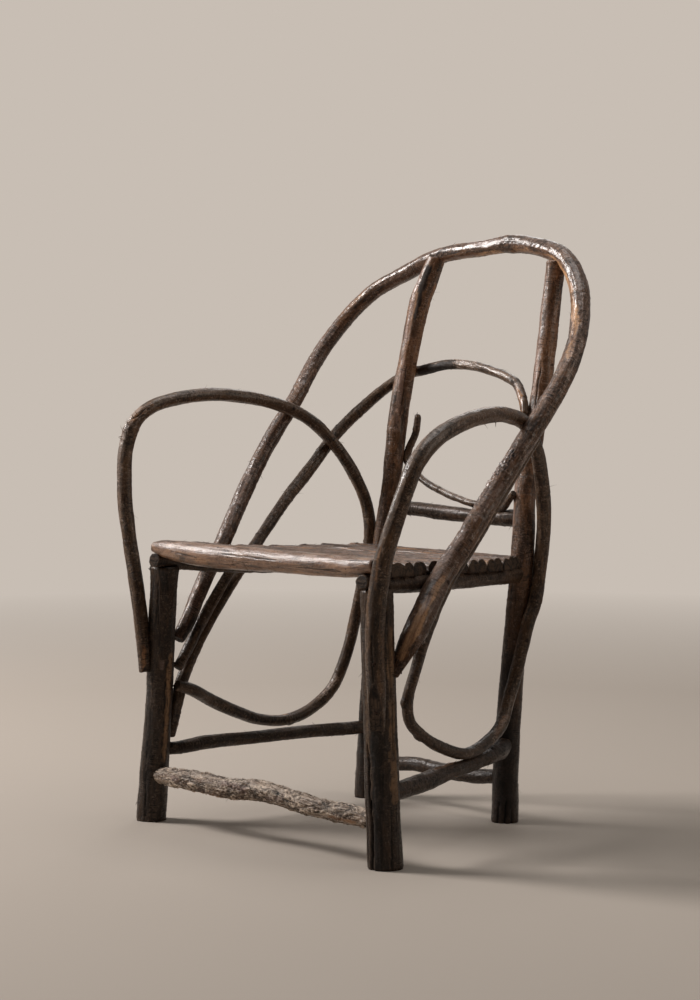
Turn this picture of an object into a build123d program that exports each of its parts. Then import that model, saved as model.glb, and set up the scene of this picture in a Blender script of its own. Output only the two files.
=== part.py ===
from build123d import *
import os
from math import cos, sin, pi, sqrt

# Twig chair, millimetres. +Z up, the front of the seat looks along -Y, +X is the sitter's left.
# A stick is a list of stations (x, y, z, radius) read from its butt to its tip.

os.makedirs("parts", exist_ok=True)

# ---- fits
seat_gap = 0.3          # left between two sticks where one is bedded against the other
tenon_gap = 0.25        # all round a tenon in its hole
tenon_bottom = 1.0      # free depth under a tenon
nail_gap = 0.1          # all round a nail shank in its hole
station_step = 26       # length of one straight run of a bent stick
foot_spare = 6          # extra length sawn off level under each foot
shift_x = 10            # from the middle of the feet to the middle of the whole chair
shift_y = -55

# ---- nails
nail_sink = 0.4         # how deep a head is let into the wood
nail_gap_head = 0.1     # under and around a head
# shank radius, head radius, head thickness, length under the head
spike = (2, 4.2, 1.6, 66)
long_nail = (1.7, 3.8, 1.4, 44)
nail = (1.5, 3.4, 1.2, 33)
brad = (1, 2.2, 0.9, 19)

# ---- the four posts
front_post_top_left = 389
front_post_top_right = 392
post_front_left = [
    (249, -185, 0, 25.6),
    (243, -184, 90, 24.8),
    (237, -182, 190, 24.2),
    (230, -180, 300, 23.6),
    (225, -178, front_post_top_left, 23.2),
]
post_front_right = [
    (-249, -185, 0, 22.4),
    (-240, -184, 93, 21.8),
    (-232, -182, 186, 21),
    (-227, -180, 310, 21.2),
    (-222, -178, front_post_top_right, 21.6),
]
post_rear_left = [
    (147, 185, 0, 20),
    (144, 192, 93, 19),
    (144, 203, 216, 18),
    (147, 215, 330, 17.4),
    (147, 226, 430, 17),
    (140, 238, 505, 16),
    (142, 254, 580, 15),
    (145, 268, 656, 14.6),
    (142, 291, 768, 14.4),
    (140, 308, 854, 14.2),
]
post_rear_right = [
    (-147, 185, 0, 20),
    (-152, 198, 128, 18.4),
    (-151, 212, 280, 17),
    (-148, 226, 423, 16.2),
    (-145, 238, 492, 15.4),
    (-147, 250, 556, 16),
    (-149, 262, 617, 16.2),
    (-147, 274, 675, 16),
    (-142, 287, 740, 16),
    (-137, 298, 794, 16.6),
    (-128, 303, 822, 16.4),
    (-111, 311, 868, 14.6),
]

# ---- the long bent saplings
main_hoop = [
    (248, -160, 264, 15),
    (252, -142, 303, 17.2),
    (248, -110, 344, 17.6),
    (230, -52, 394, 16.6),
    (234, -2, 448, 15.6),
    (235, 48, 503, 15),
    (238, 98, 560, 15.2),
    (248, 170, 646, 15.4),
    (250, 198, 682, 15),
    (235, 248, 745, 14.6),
    (203, 287, 812, 15.4),
    (149, 312, 862, 14.8),
    (81, 318, 881, 14),
    (32, 319, 884, 14.2),
    (-15, 318, 879, 12.8),
    (-107, 315, 868, 13),
    (-181, 304, 839, 13.4),
    (-231, 288, 812, 12.8),
    (-265, 254, 765, 12.6),
    (-279, 202, 700, 12.7),
    (-271, 146, 636, 12.8),
    (-271, 90, 573, 13),
    (-262, 28, 498, 13),
    (-244, -36, 422, 12.6),
    (-237, -78, 372, 12.2),
    (-228, -110, 333, 12),
    (-221, -140, 294, 11.2),
    (-220, -154, 278, 10),
]
inner_hoop = [
    (-236, -157, 128, 8),
    (-223, -155, 176, 9.4),
    (-224, -142, 214, 9.8),
    (-226, -117, 255, 9.8),
    (-228, -76, 308, 9.8),
    (-230, -25, 365, 9.8),
    (-232, 28, 419, 9.6),
    (-234, 88, 478, 9.8),
    (-232, 137, 523, 10),
    (-226, 197, 583, 9.7),
    (-205, 238, 625, 9.4),
    (-183, 273, 658, 9.2),
    (-160, 296, 678, 9),
    (-125, 298, 685, 8.6),
    (-78, 293, 693, 8.2),
    (-28, 288, 694, 7.9),
    (23, 283, 687, 7.7),
    (71, 274, 676, 7.5),
    (100, 264, 665, 7.4),
    (126, 249, 639, 7.2),
    (135, 242, 620, 6.8),
]
arm_left = [
    (254, -205, 195, 10),
    (253, -207, 253, 13.4),
    (252, -210, 320, 13.8),
    (254, -208, 372, 13.8),
    (262, -203, 434, 13.6),
    (269, -193, 473, 13.2),
    (275, -179, 517, 12.8),
    (279, -154, 567, 12.4),
    (277, -115, 597, 12.5),
    (270, -57, 617, 12.4),
    (250, 31, 628, 12),
    (233, 97, 624, 11.6),
    (216, 150, 609, 11.3),
    (205, 188, 569, 11),
    (189.5, 219.5, 516, 11),
    (178.5, 236.5, 453, 11),
    (173.5, 235.5, 400, 10.8),
    (175, 222, 339, 10.5),
    (173, 208, 307, 10.4),
    (169, 187, 236, 10),
    (172, 164, 191, 9.6),
    (182, 137, 159, 9.4),
    (197, 84, 138.5, 9.2),
    (209, 26, 131, 8.7),
    (216, -31, 147, 8.6),
    (221, -76, 169, 8.5),
    (226, -111, 196, 8.4),
    (229, -118, 228, 8.3),
    (232, -110, 258, 8.2),
    (233, -88, 310, 8.2),
    (226, -36, 380, 8),
    (228, 14, 434, 7.8),
    (229, 64, 489, 7.5),
    (232, 114, 546, 7.2),
    (237, 150, 588, 6.6),
]
arm_right = [
    (-236, -207, 231, 8.2),
    (-240, -207, 278, 10.6),
    (-250, -206, 334, 11.2),
    (-264, -204, 391, 11.4),
    (-280, -202, 452, 11.4),
    (-293, -197, 513, 11.3),
    (-299, -188, 569, 11.2),
    (-299, -168, 610, 11),
    (-296, -138, 631, 10.8),
    (-290, -96, 642, 10.6),
    (-281, -30, 648, 10.4),
    (-270, 45, 642, 10.3),
    (-255, 110, 625, 10.2),
    (-235, 149, 602, 10.1),
    (-210, 176, 564, 10),
    (-196, 203, 520, 10),
    (-182, 217, 475, 9.9),
    (-173, 219, 427, 9.8),
    (-174, 211, 375, 9.8),
    (-182, 198, 298, 9.7),
    (-190, 183, 230, 9.6),
    (-200, 161, 175, 9.5),
    (-207, 127, 147, 9.4),
    (-213, 77, 131, 9.3),
    (-218, 21, 135, 9.2),
    (-221, -41, 157, 10),
    (-217, -97, 182, 10),
    (-206, -135, 199, 9.4),
    (-208, -167, 210, 8.4),
]
brace_right = [
    (-219, -156, 234, 7.6),
    (-219.5, -137.5, 257, 8.6),
    (-223, -110, 291, 8.8),
    (-224, -80.5, 327, 8.6),
    (-221, -56, 361, 8.2),
    (-215.5, -42, 384, 7.6),
]
back_twig = [
    (-117, 272, 614, 5.2),
    (-120, 269, 582, 5.8),
    (-130, 264, 557, 6.2),
    (-130, 259, 541, 6.1),
    (-114, 257, 525, 6),
    (-83, 250, 509, 5.9),
    (-41, 244, 495, 5.9),
    (-5, 240, 486, 5.8),
    (31, 238, 479, 5.8),
    (70, 236, 477, 5.7),
    (104, 228, 476, 5.6),
    (122, 221, 490, 5.5),
    (135, 217, 501, 5.2),
]

# ---- the straighter sticks between the posts
rail_left = [
    (229, -212, 401, 11.5),
    (225, -178, 398, 12.5),
    (219, -150, 394, 13),
    (190, 10, 385, 13.3),
    (163, 150, 379, 12.5),
    (147, 222, 377, 12),
]
rail_right = [
    (-212, -208, 403.5, 11.6),
    (-216, -178, 401, 12),
    (-214, -140, 396, 12.5),
    (-194, -30, 386, 12.8),
    (-163, 150, 379, 12.3),
    (-148, 223, 377, 12),
]
stretcher_front = [
    (-241, -184, 74, 12.6),
    (-222, -188, 73, 14),
    (-175, -193, 74, 15.6),
    (-122, -195, 75, 16),
    (-62, -192, 73, 16.2),
    (-4, -188, 77, 15.6),
    (111, -187, 68, 15.4),
    (202, -185, 66, 15),
    (244, -184, 65, 14.4),
]
stretcher_right = [
    (-242, -182, 109, 9.5),
    (-232, -154, 109, 9.5),
    (-222, -130, 111, 11),
    (-215, -104, 114, 11),
    (-195, -10, 114, 10),
    (-175, 71, 115, 10.4),
    (-154, 166, 113, 10.4),
    (-151, 197, 113, 10),
]
stretcher_left = [
    (245, -184, 103, 13),
    (242, -150, 104, 13.2),
    (228, -77, 107, 14.2),
    (218, -30, 110, 12.4),
    (204, 40, 112, 11),
    (184, 124, 117, 12),
    (167, 153, 117, 13.6),
    (141, 191, 119, 11),
]
stretcher_rear = [
    (-150, 190, 59, 10.6),
    (-120, 188, 60, 11.2),
    (-81, 188, 61, 11.6),
    (-46, 188, 65, 11.4),
    (-5, 188, 63, 11.4),
    (75, 188, 61, 11.4),
    (122, 189, 66, 11.2),
    (144, 190, 68, 10.6),
]
back_rail = [
    (-146, 237, 465, 11),
    (-96, 236, 465, 11.4),
    (-15, 237, 461, 11.8),
    (88, 237, 458, 11.4),
    (112, 237, 460, 13.8),
    (141, 238, 460, 12),
]

# ---- the seat: a thick front pole and half-round sticks laid across the two side rails
front_slat = [
    (-224, -196, 421.5, 8.6),
    (-200, -196.5, 421, 13),
    (-165, -197, 419, 16),
    (-110, -197, 417, 17.4),
    (-40, -197, 417, 17.8),
    (56, -197, 418, 16.4),
    (150, -197, 419, 15.8),
    (205, -197, 420, 14.6),
    (243, -198, 425, 11),
]
slat_bed = 1.6          # depth that a slat is notched over a rail
# distance behind the front pole's axis, width, height, overhang at the right and at the left
slats = [
    (44, 40, 21, 12, 24),
    (77, 24, 22, 15, 21),
    (102, 24, 21, 9, 19),
    (127, 24, 20, 17, 7),
    (155, 30, 21, 12, 12),
    (187, 32, 20, 20, 15),
    (219, 30, 21, 14, 18),
    (248, 26, 20, 19, 22),
    (273, 22, 21, 11, 20),
    (297, 24, 20, 15, 23),
    (321, 22, 21, 21, 19),
    (345, 24, 20, 12, 21),
    (371, 24, 21, 16, 14),
    (394, 18, 20, 6, 9),
]
slat_corner = 0.28      # share of the height that stands square before the crown starts

# ---- tenons: radius, and how far they go into the host
stretcher_tenon = 7.5
stretcher_tenon_in = 15
rail_tenon = 8
rail_tenon_in = 13
back_tenon = 7
back_tenon_in = 11


def between(a, b, t):
    return tuple(p + (q - p) * t for p, q in zip(a, b))


def reach(a, b):
    return sqrt(sum((q - p) ** 2 for p, q in zip(a[:3], b[:3])))


def blend(stations, i, t):
    """The stick at a share t of the way from station i to the next, on a centripetal curve."""
    last = len(stations) - 1
    p1 = stations[i]
    p2 = stations[i + 1]
    p0 = stations[i - 1] if i else between(p2, p1, 2)
    p3 = stations[i + 2] if i + 1 < last else between(p1, p2, 2)
    k1 = sqrt(reach(p0, p1))
    k2 = k1 + sqrt(reach(p1, p2))
    k3 = k2 + sqrt(reach(p2, p3))
    u = k1 + (k2 - k1) * t
    a1 = between(p0, p1, u / k1)
    a2 = between(p1, p2, (u - k1) / (k2 - k1))
    a3 = between(p2, p3, (u - k2) / (k3 - k2))
    b1 = between(a1, a2, u / k2)
    b2 = between(a2, a3, (u - k1) / (k3 - k1))
    return between(b1, b2, (u - k1) / (k2 - k1))


def walk(stations):
    """Points (x, y, z, radius) close enough together for straight runs between them."""
    points = []
    for i in range(len(stations) - 1):
        runs = max(1, round(reach(stations[i], stations[i + 1]) / station_step))
        for k in range(runs):
            points.append(blend(stations, i, k / runs))
    points.append(stations[-1])
    return points


def skin(points, grow=0.0):
    """A ruled solid through round sections square to the run of the points."""
    centres = [Vector(*p[:3]) for p in points]
    last = len(points) - 1
    side = Vector(0, 0, 1).cross(centres[1] - centres[0])
    if side.length < 1e-3:
        side = Vector(1, 0, 0)
    sections = []
    for i, point in enumerate(points):
        along = (centres[min(i + 1, last)] - centres[max(i - 1, 0)]).normalized()
        side = (side - along * side.dot(along)).normalized()
        sections.append(Plane(origin=centres[i], x_dir=side, z_dir=along) * Circle(point[3] + grow))
    return loft(sections, ruled=True)


def stick(stations, grow=0.0):
    return skin(walk(stations), grow)


def near_part(stations, spot, distance, grow):
    """The run of a stick that lies within a distance of a spot, swollen by grow."""
    points = walk(stations)
    close = [i for i, p in enumerate(points) if reach(p, spot) < distance]
    first = max(close[0] - 1, 0)
    final = min(close[-1] + 2, len(points))
    return skin(points[first:final], grow)


def bed(piece, host, spot, distance=70):
    """Cuts a piece so that it is bedded against the host stick near a spot."""
    return piece - near_part(host, spot, distance, seat_gap)


def pin(at, toward, radius, length, lead=0.0):
    """A round bar that starts a lead before a point and runs a length on past it."""
    plane = Plane(origin=Vector(*at), z_dir=Vector(*toward))
    body = Cylinder(radius, length + lead, align=(Align.CENTER, Align.CENTER, Align.MIN))
    return plane * (Pos(0, 0, -lead) * body)


# every stick whole, before it is fitted to its neighbours
runs = {
    "leg_front_left": post_front_left,
    "leg_front_right": post_front_right,
    "post_rear_left": post_rear_left,
    "post_rear_right": post_rear_right,
    "main_hoop": main_hoop,
    "inner_hoop": inner_hoop,
    "arm_left": arm_left,
    "arm_right": arm_right,
    "brace_right": brace_right,
    "back_twig": back_twig,
    "rail_left": rail_left,
    "rail_right": rail_right,
    "stretcher_front": stretcher_front,
    "stretcher_right": stretcher_right,
    "stretcher_left": stretcher_left,
    "stretcher_rear": stretcher_rear,
    "back_rail": back_rail,
    "slat_front": front_slat,
}
part = {}
for name, stations in runs.items():
    points = walk(stations)
    if stations[0][2] == 0:
        points[0] = between(points[1], points[0], 1 + foot_spare / reach(points[0], points[1]))
    part[name] = skin(points)

# the feet are sawn level
below = Pos(0, 0, -foot_spare * 2) * Box(900, 900, foot_spare * 4, align=(Align.CENTER, Align.CENTER, Align.CENTER))
for name in ("leg_front_left", "leg_front_right", "post_rear_left", "post_rear_right"):
    part[name] -= below


# ---- slats
def rail_at(stations, y):
    """Where a rail's axis crosses a plane of constant y."""
    points = walk(stations)
    for a, b in zip(points, points[1:]):
        if a[1] <= y <= b[1]:
            return between(a, b, (y - a[1]) / (b[1] - a[1]))


def slat_section(x, y, z, width, height):
    """A half-round outline standing on its flat, square to X."""
    corner = height * slat_corner
    low = Polyline((-width / 2, corner), (-width / 2, 0), (width / 2, 0), (width / 2, corner))
    crown = ThreePointArc((width / 2, corner), (0, height), (-width / 2, corner))
    return Plane(origin=(x, y, z), x_dir=(0, 1, 0), z_dir=(1, 0, 0)) * make_face(low + crown)


front_y = front_slat[4][1]
slat_names = []
slat_feet = {}
for i, (behind, width, height, over_right, over_left) in enumerate(slats):
    y = front_y + behind
    right = rail_at(rail_right, y)
    left = rail_at(rail_left, y)
    foot_right = right[2] + right[3] - slat_bed
    foot_left = left[2] + left[3] - slat_bed
    slope = (foot_left - foot_right) / (left[0] - right[0])
    x0 = right[0] - over_right
    x1 = left[0] + over_left
    sections = []
    for share, wide, high in ((0, 0.94, 0.9), (0.14, 1, 1), (0.6, 0.97, 1.03), (0.88, 1, 1), (1, 0.93, 0.88)):
        x = x0 + (x1 - x0) * share
        z = foot_right + (x - right[0]) * slope
        sections.append(slat_section(x, y, z, width * wide, height * high))
    name = "slat_%02d" % (i + 1)
    slat_names.append(name)
    slat_feet[name] = ((right[0], y, foot_right + height), (left[0], y, foot_left + height))
    part[name] = loft(sections, ruled=True)


# ---- tenons
def tenon(name, host, tip, radius, depth):
    """Shoulders one end of a stick to a host and carries a round tenon into it."""
    points = walk(runs[name])
    if tip == 0:
        points = points[::-1]
    end = points[-1]
    back = points[-3]
    toward = [p - q for p, q in zip(end[:3], back[:3])]
    length = reach(back, end)
    toward = [c / length for c in toward]
    host_radius = min(walk(runs[host]), key=lambda p: reach(p, end))[3]
    shoulder = [p - c * host_radius for p, c in zip(end[:3], toward)]
    part[name] = bed(part[name], runs[host], end)
    part[name] += pin(shoulder, toward, radius, depth, host_radius * 0.6)
    part[host] -= pin(shoulder, toward, radius + tenon_gap, depth + tenon_bottom, host_radius * 0.6)


tenon("rail_left", "post_rear_left", -1, rail_tenon, rail_tenon_in)
tenon("rail_right", "post_rear_right", -1, rail_tenon, rail_tenon_in)
tenon("stretcher_front", "leg_front_right", 0, stretcher_tenon, stretcher_tenon_in)
tenon("stretcher_front", "leg_front_left", -1, stretcher_tenon, stretcher_tenon_in)
tenon("stretcher_right", "leg_front_right", 0, stretcher_tenon, stretcher_tenon_in)
tenon("stretcher_right", "post_rear_right", -1, stretcher_tenon, stretcher_tenon_in)
tenon("stretcher_left", "leg_front_left", 0, stretcher_tenon, stretcher_tenon_in)
tenon("stretcher_left", "post_rear_left", -1, stretcher_tenon, stretcher_tenon_in)
tenon("stretcher_rear", "post_rear_right", 0, stretcher_tenon, stretcher_tenon_in)
tenon("stretcher_rear", "post_rear_left", -1, stretcher_tenon, stretcher_tenon_in)
tenon("back_rail", "post_rear_right", 0, back_tenon, back_tenon_in)
tenon("back_rail", "post_rear_left", -1, back_tenon, back_tenon_in)

# ---- beds: the first stick is notched to lie on the second, near a spot, within a distance
beds = [
    ("leg_front_left", "rail_left", (225, -178, 398), 60),
    ("leg_front_right", "rail_right", (-221, -178, 401), 60),
    ("post_rear_left", "main_hoop", (140, 313, 862), 70),
    ("post_rear_right", "main_hoop", (-111, 314, 867), 70),
    ("main_hoop", "leg_front_left", (240, -170, 275), 90),
    ("main_hoop", "leg_front_right", (-225, -168, 285), 90),
    ("main_hoop", "rail_left", (231, -55, 390), 60),
    ("inner_hoop", "leg_front_right", (-222, -165, 160), 110),
    ("inner_hoop", "post_rear_right", (-148, 290, 682), 60),
    ("inner_hoop", "post_rear_left", (140, 250, 618), 60),
    ("arm_left", "leg_front_left", (245, -195, 270), 150),
    ("arm_left", "main_hoop", (232, 50, 480), 190),
    ("arm_left", "post_rear_left", (160, 205, 280), 110),
    ("arm_left", "stretcher_left", (206, 40, 122), 70),
    ("arm_right", "leg_front_right", (-230, -181, 240), 100),
    ("arm_right", "main_hoop", (-262, 120, 620), 60),
    ("arm_right", "inner_hoop", (-222, 178, 568), 60),
    ("arm_right", "inner_hoop", (-214, -145, 204), 60),
    ("arm_right", "post_rear_right", (-160, 220, 405), 80),
    ("brace_right", "leg_front_right", (-224, -168, 236), 70),
    ("brace_right", "inner_hoop", (-228, -110, 280), 80),
    ("brace_right", "rail_right", (-205, -40, 386), 60),
    ("back_twig", "post_rear_right", (-138, 257, 549), 60),
    ("back_twig", "post_rear_left", (136, 227, 497), 60),
    ("back_twig", "back_rail", (60, 237, 468), 110),
    ("slat_front", "rail_left", (226, -198, 408), 60),
    ("slat_front", "rail_right", (-218, -198, 410), 60),
    ("slat_14", "post_rear_left", (147, 222, 405), 60),
    ("slat_14", "post_rear_right", (-147, 222, 405), 60),
]
for name, host, spot, distance in beds:
    part[name] = bed(part[name], runs[host], spot, distance)
for name in slat_names:
    right, left = slat_feet[name]
    part[name] = bed(part[name], rail_right, right, 70)
    part[name] = bed(part[name], rail_left, left, 70)

# ---- nails
nails = {"spikes_front": [], "nails_hoop": [], "nails_frame": [], "nails_seat": [], "brads_back": []}


def drive(group, kind, names, at, toward):
    """Sets one nail with its head let in at a point, through the sticks named."""
    shank, head, thick, length = kind
    plane = Plane(origin=Vector(*at), z_dir=Vector(*toward))
    up = (Align.CENTER, Align.CENTER, Align.MIN)
    seat = nail_sink
    body = Pos(0, 0, seat - thick) * Cylinder(head, thick, align=up)
    body += Pos(0, 0, seat - thick / 2) * Cylinder(shank, length + thick / 2, align=up)
    hole = Pos(0, 0, seat + nail_gap_head - thick * 4) * Cylinder(head + nail_gap_head, thick * 4, align=up)
    hole += Pos(0, 0, seat - thick) * Cylinder(shank + nail_gap, length + thick + nail_gap * 4, align=up)
    nails[group].append(plane * body)
    for name in names:
        part[name] -= plane * hole


def join(group, kind, name, host, spot):
    """Nails a stick to its host where their axes come nearest, close to a spot."""
    a = min(walk(runs[name]), key=lambda p: reach(p, spot))
    axis = walk(runs[name])
    i = axis.index(a)
    j = i + 1 if i + 1 < len(axis) and (i == 0 or reach(axis[i + 1], spot) < reach(axis[i - 1], spot)) else i - 1
    share = max(0, min(1, sum((spot[k] - a[k]) * (axis[j][k] - a[k]) for k in range(3)) / reach(a, axis[j]) ** 2))
    a = between(a, axis[j], share)
    best = None
    host_axis = walk(runs[host])
    for p, q in zip(host_axis, host_axis[1:]):
        t = sum((a[k] - p[k]) * (q[k] - p[k]) for k in range(3)) / reach(p, q) ** 2
        b = between(p, q, max(0, min(1, t)))
        if best is None or reach(a, b) < reach(a, best):
            best = b
    gap = reach(a, best)
    toward = [(best[k] - a[k]) / gap for k in range(3)]
    at = [a[k] - toward[k] * a[3] for k in range(3)]
    drive(group, kind, (name, host), at, toward)


for x, y, z, host, rail in ((221, -191, 433, "leg_front_left", "rail_left"),
                            (-212, -191, 431.5, "leg_front_right", "rail_right")):
    drive("spikes_front", spike, ("slat_front", rail, host), (x, y, z), (0, 0, -1))
for name in slat_names:
    for foot, rail in zip(slat_feet[name], ("rail_right", "rail_left")):
        drive("nails_seat", nail, (name, rail), foot, (0, 0, -1))

join("nails_hoop", long_nail, "main_hoop", "leg_front_left", (249, -155, 273))
join("nails_hoop", long_nail, "main_hoop", "leg_front_left", (252, -142, 300))
join("nails_hoop", long_nail, "main_hoop", "leg_front_right", (-220, -146, 287))
join("nails_hoop", long_nail, "main_hoop", "rail_left", (231, -56, 390))
drive("nails_hoop", long_nail, ("main_hoop", "post_rear_left"), (138, 316, 881.5), (0.02, -0.2, -1))
drive("nails_hoop", long_nail, ("main_hoop", "post_rear_right"), (-107, 317, 880), (-0.34, -0.18, -1))

join("nails_frame", nail, "arm_left", "leg_front_left", (254, -206, 222))
join("nails_frame", nail, "arm_left", "leg_front_left", (252, -209, 290))
join("nails_frame", nail, "arm_left", "main_hoop", (221, 136, 614))
join("nails_frame", nail, "arm_left", "main_hoop", (229, 60, 485))
join("nails_frame", nail, "arm_left", "post_rear_left", (171, 200, 280))
join("nails_frame", nail, "arm_right", "leg_front_right", (-238, -207, 256))
join("nails_frame", nail, "arm_right", "leg_front_right", (-208, -160, 208))
join("nails_frame", nail, "arm_right", "main_hoop", (-252, 119, 621))
join("nails_frame", nail, "arm_right", "post_rear_right", (-173, 217, 408))
join("nails_frame", nail, "inner_hoop", "leg_front_right", (-229, -156, 152))
join("nails_frame", nail, "inner_hoop", "post_rear_right", (-148, 297, 681))
join("nails_frame", nail, "brace_right", "leg_front_right", (-220, -150, 242))

join("brads_back", brad, "arm_right", "inner_hoop", (-214, 173, 570))
join("brads_back", brad, "inner_hoop", "post_rear_left", (132, 245, 628))
join("brads_back", brad, "brace_right", "rail_right", (-216, -44, 380))
join("brads_back", brad, "back_twig", "post_rear_right", (-130, 262, 550))
join("brads_back", brad, "back_twig", "post_rear_left", (130, 219, 496))

for name, group in nails.items():
    part[name] = Compound(children=group)

# ---- to the row frame: origin under the middle of the whole chair
to_row = Location((shift_x, shift_y, 0))
for name, solid in part.items():
    solid = to_row * solid
    solid.label = name
    export_step(solid, os.path.join("parts", name + ".step"))
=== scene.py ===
import random
import bpy
from math import sin, cos, acos, pi, exp, radians, sqrt, ceil
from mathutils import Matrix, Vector, noise
from mathutils.bvhtree import BVHTree


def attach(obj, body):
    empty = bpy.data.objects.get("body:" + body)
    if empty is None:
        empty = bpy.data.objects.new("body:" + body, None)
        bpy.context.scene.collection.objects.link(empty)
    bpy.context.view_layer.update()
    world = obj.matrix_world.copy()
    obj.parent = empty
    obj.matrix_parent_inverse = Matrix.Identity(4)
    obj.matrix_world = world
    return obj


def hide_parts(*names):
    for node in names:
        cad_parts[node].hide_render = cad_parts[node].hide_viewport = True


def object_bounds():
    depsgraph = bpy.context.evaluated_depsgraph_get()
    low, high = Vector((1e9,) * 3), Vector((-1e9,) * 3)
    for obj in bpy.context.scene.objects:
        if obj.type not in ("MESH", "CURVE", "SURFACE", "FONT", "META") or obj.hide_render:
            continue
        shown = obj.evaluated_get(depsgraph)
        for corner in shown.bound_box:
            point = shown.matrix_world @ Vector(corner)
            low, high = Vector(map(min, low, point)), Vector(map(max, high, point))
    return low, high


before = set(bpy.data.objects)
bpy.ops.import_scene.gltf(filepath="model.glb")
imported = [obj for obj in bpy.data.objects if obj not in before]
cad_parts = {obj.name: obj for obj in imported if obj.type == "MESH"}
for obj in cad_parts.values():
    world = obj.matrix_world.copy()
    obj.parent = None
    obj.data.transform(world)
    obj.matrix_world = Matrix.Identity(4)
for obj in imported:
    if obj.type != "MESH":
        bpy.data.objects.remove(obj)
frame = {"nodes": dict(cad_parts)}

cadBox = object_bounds()
mm = 0.001
shift = Vector((10, -55, 0))   # stations are read from the middle of the feet
print("chair: frame loaded")


# meshes: points with their masks, rings of faces, cut ends

def newParts():
    return {label: [] for label in ("verts", "faces", "grain", "cut", "bare", "dark", "paleAndHighlight")}


def addPoint(parts, spot, grain, cut=0.0, bare=0.0, dark=0.0, paleAndHighlight=0.0):
    parts["verts"].append(spot)
    parts["grain"].append(grain)
    for label, value in (("cut", cut), ("bare", bare), ("dark", dark), ("paleAndHighlight", paleAndHighlight)):
        parts[label].append(value)
    return len(parts["verts"]) - 1


def joinRings(faces, first, rings, around):
    # one face between each pair of neighbours on two rings
    for i in range(rings - 1):
        for k in range(around):
            a, b = first + i * around + k, first + i * around + (k + 1) % around
            faces.append((a, b, b + around, a + around))


def closeEnd(parts, first, around, flip, insets, dentAt, dark=0.0):
    # sawn end: smaller and smaller rings, a little uneven, down to one point
    verts, faces, grain = parts["verts"], parts["faces"], parts["grain"]
    rim = verts[first:first + around]
    mid = sum(rim, Vector()) / around
    previous = list(range(first, first + around))
    for inset in insets:
        now = []
        for k in range(around):
            u, v, s = grain[first + k]
            spot = mid.lerp(rim[k], inset) + dentAt(k, inset)
            now.append(addPoint(parts, spot, (u * inset, v * inset, s), cut=1.0, dark=dark))
        for k in range(around):
            quad = (previous[k], previous[(k + 1) % around], now[(k + 1) % around], now[k])
            faces.append(quad[::-1] if flip else quad)
        previous = now
    tip = addPoint(parts, mid, (0, 0, grain[first][2]), cut=1.0, dark=dark)
    for k in range(around):
        tri = (previous[k], previous[(k + 1) % around], tip)
        faces.append(tri[::-1] if flip else tri)


splinter = {"rings": 6, "curl": 0.55, "taper": 0.88, "flat": 0.6}


def addFibre(parts, root, way, bend, length, thick, grainSpot, bare=0.0, paleAndHighlight=0.0):
    # thin tapering splinter that starts inside the wood
    side = way.cross(bend).normalized()
    up = side.cross(way).normalized()
    first = len(parts["verts"])
    rings, flat = splinter["rings"], splinter["flat"]
    for i in range(rings):
        t = i / (rings - 1)
        centre = root + way * length * t + bend * length * splinter["curl"] * t * t
        w = thick * (1 - splinter["taper"] * t)
        for c, n in ((1, 0), (0, flat), (-1, 0), (0, -flat)):
            spot = centre + side * c * w + up * n * w
            addPoint(parts, (spot + shift) * mm, grainSpot, bare=bare, paleAndHighlight=paleAndHighlight)
    joinRings(parts["faces"], first, rings, 4)
    tip = first + (rings - 1) * 4
    parts["faces"].append((first + 3, first + 2, first + 1, first))
    parts["faces"].append((tip, tip + 1, tip + 2, tip + 3))


def newPiece(name, verts, faces):
    # nothing may stand out of the chair's own box
    low, high = cadBox
    verts = [Vector([min(max(v[k], low[k]), high[k]) for k in range(3)]) for v in verts]
    mesh = bpy.data.meshes.new(name)
    mesh.from_pydata(verts, [], faces)
    mesh.update()
    piece = bpy.data.objects.new(name, mesh)
    bpy.context.scene.collection.objects.link(piece)
    return piece


def woodPiece(name, parts):
    piece = newPiece(name, parts["verts"], parts["faces"])
    mesh = piece.data
    spots = [v for g in parts["grain"] for v in g]
    mesh.attributes.new("grain", "FLOAT_VECTOR", "POINT").data.foreach_set("vector", spots)
    for label in ("cut", "bare", "dark", "paleAndHighlight"):
        mesh.attributes.new(label, "FLOAT", "POINT").data.foreach_set("value", parts[label])
    mesh.polygons.foreach_set("use_smooth", [True] * len(mesh.polygons))
    mesh.update()
    return piece


grown = []   # every piece of wood, for the nails to find its surface


def place(piece, node, slot, material):
    piece.data.materials.clear()
    piece.data.materials.append(material)
    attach(piece, "root")
    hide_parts(node)
    if slot != "iron":
        grown.append(piece)


# bent sticks

# what a stick has where its own dictionary doesn't say
usualStick = {
    "rounding": (2.5, 2.5), "sink": (0.12, 0.12),   # length that an end rounds over, share that it draws in
    "flatFoot": False,
    # relief in mm (oval: share of the radius), and how far the skin lies inside the stations' radius
    "oval": 0.06, "lump": 0.6, "ridge": 0.3, "crust": 0.22, "scab": 0.0, "bias": 0.15,
    # bud rings about so far apart, and how many loose fibres
    "buds": 90, "fibres": 0,
    # knife cut: place, way out, reach; knot: place, size, height; hair: place, way, length, width, paleness
    "cuts": [], "knots": [], "hairs": [],
    # start, end, half width, and then depth for a crack or strength for the others
    "cracks": [], "bares": [], "lights": [], "stains": [], "roughs": []}
budRing = {"reach": 9, "high": 0.7, "spread": 2.6, "groove": 0.6, "grooveAt": 3.2, "grooveWide": 1.3,
           "shade": 0.75, "shadeWide": 1.2}
tornPlate = {"cutoff": -0.06, "level": 0.8, "stripped": 0.12, "grit": 0.35, "edge": 2.4, "shade": 0.9}
clingingScales = {"high": 0.9, "sunk": 0.3, "chips": 0.8, "edge": 2.2, "paleFrom": 0.1, "palest": 0.6,
                  "shade": 0.9}
patchEdge = {"slow": 0.7, "quick": 2.4, "fade": 2}
crackWander = {"by": 1.6, "width": 0.4}
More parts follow.
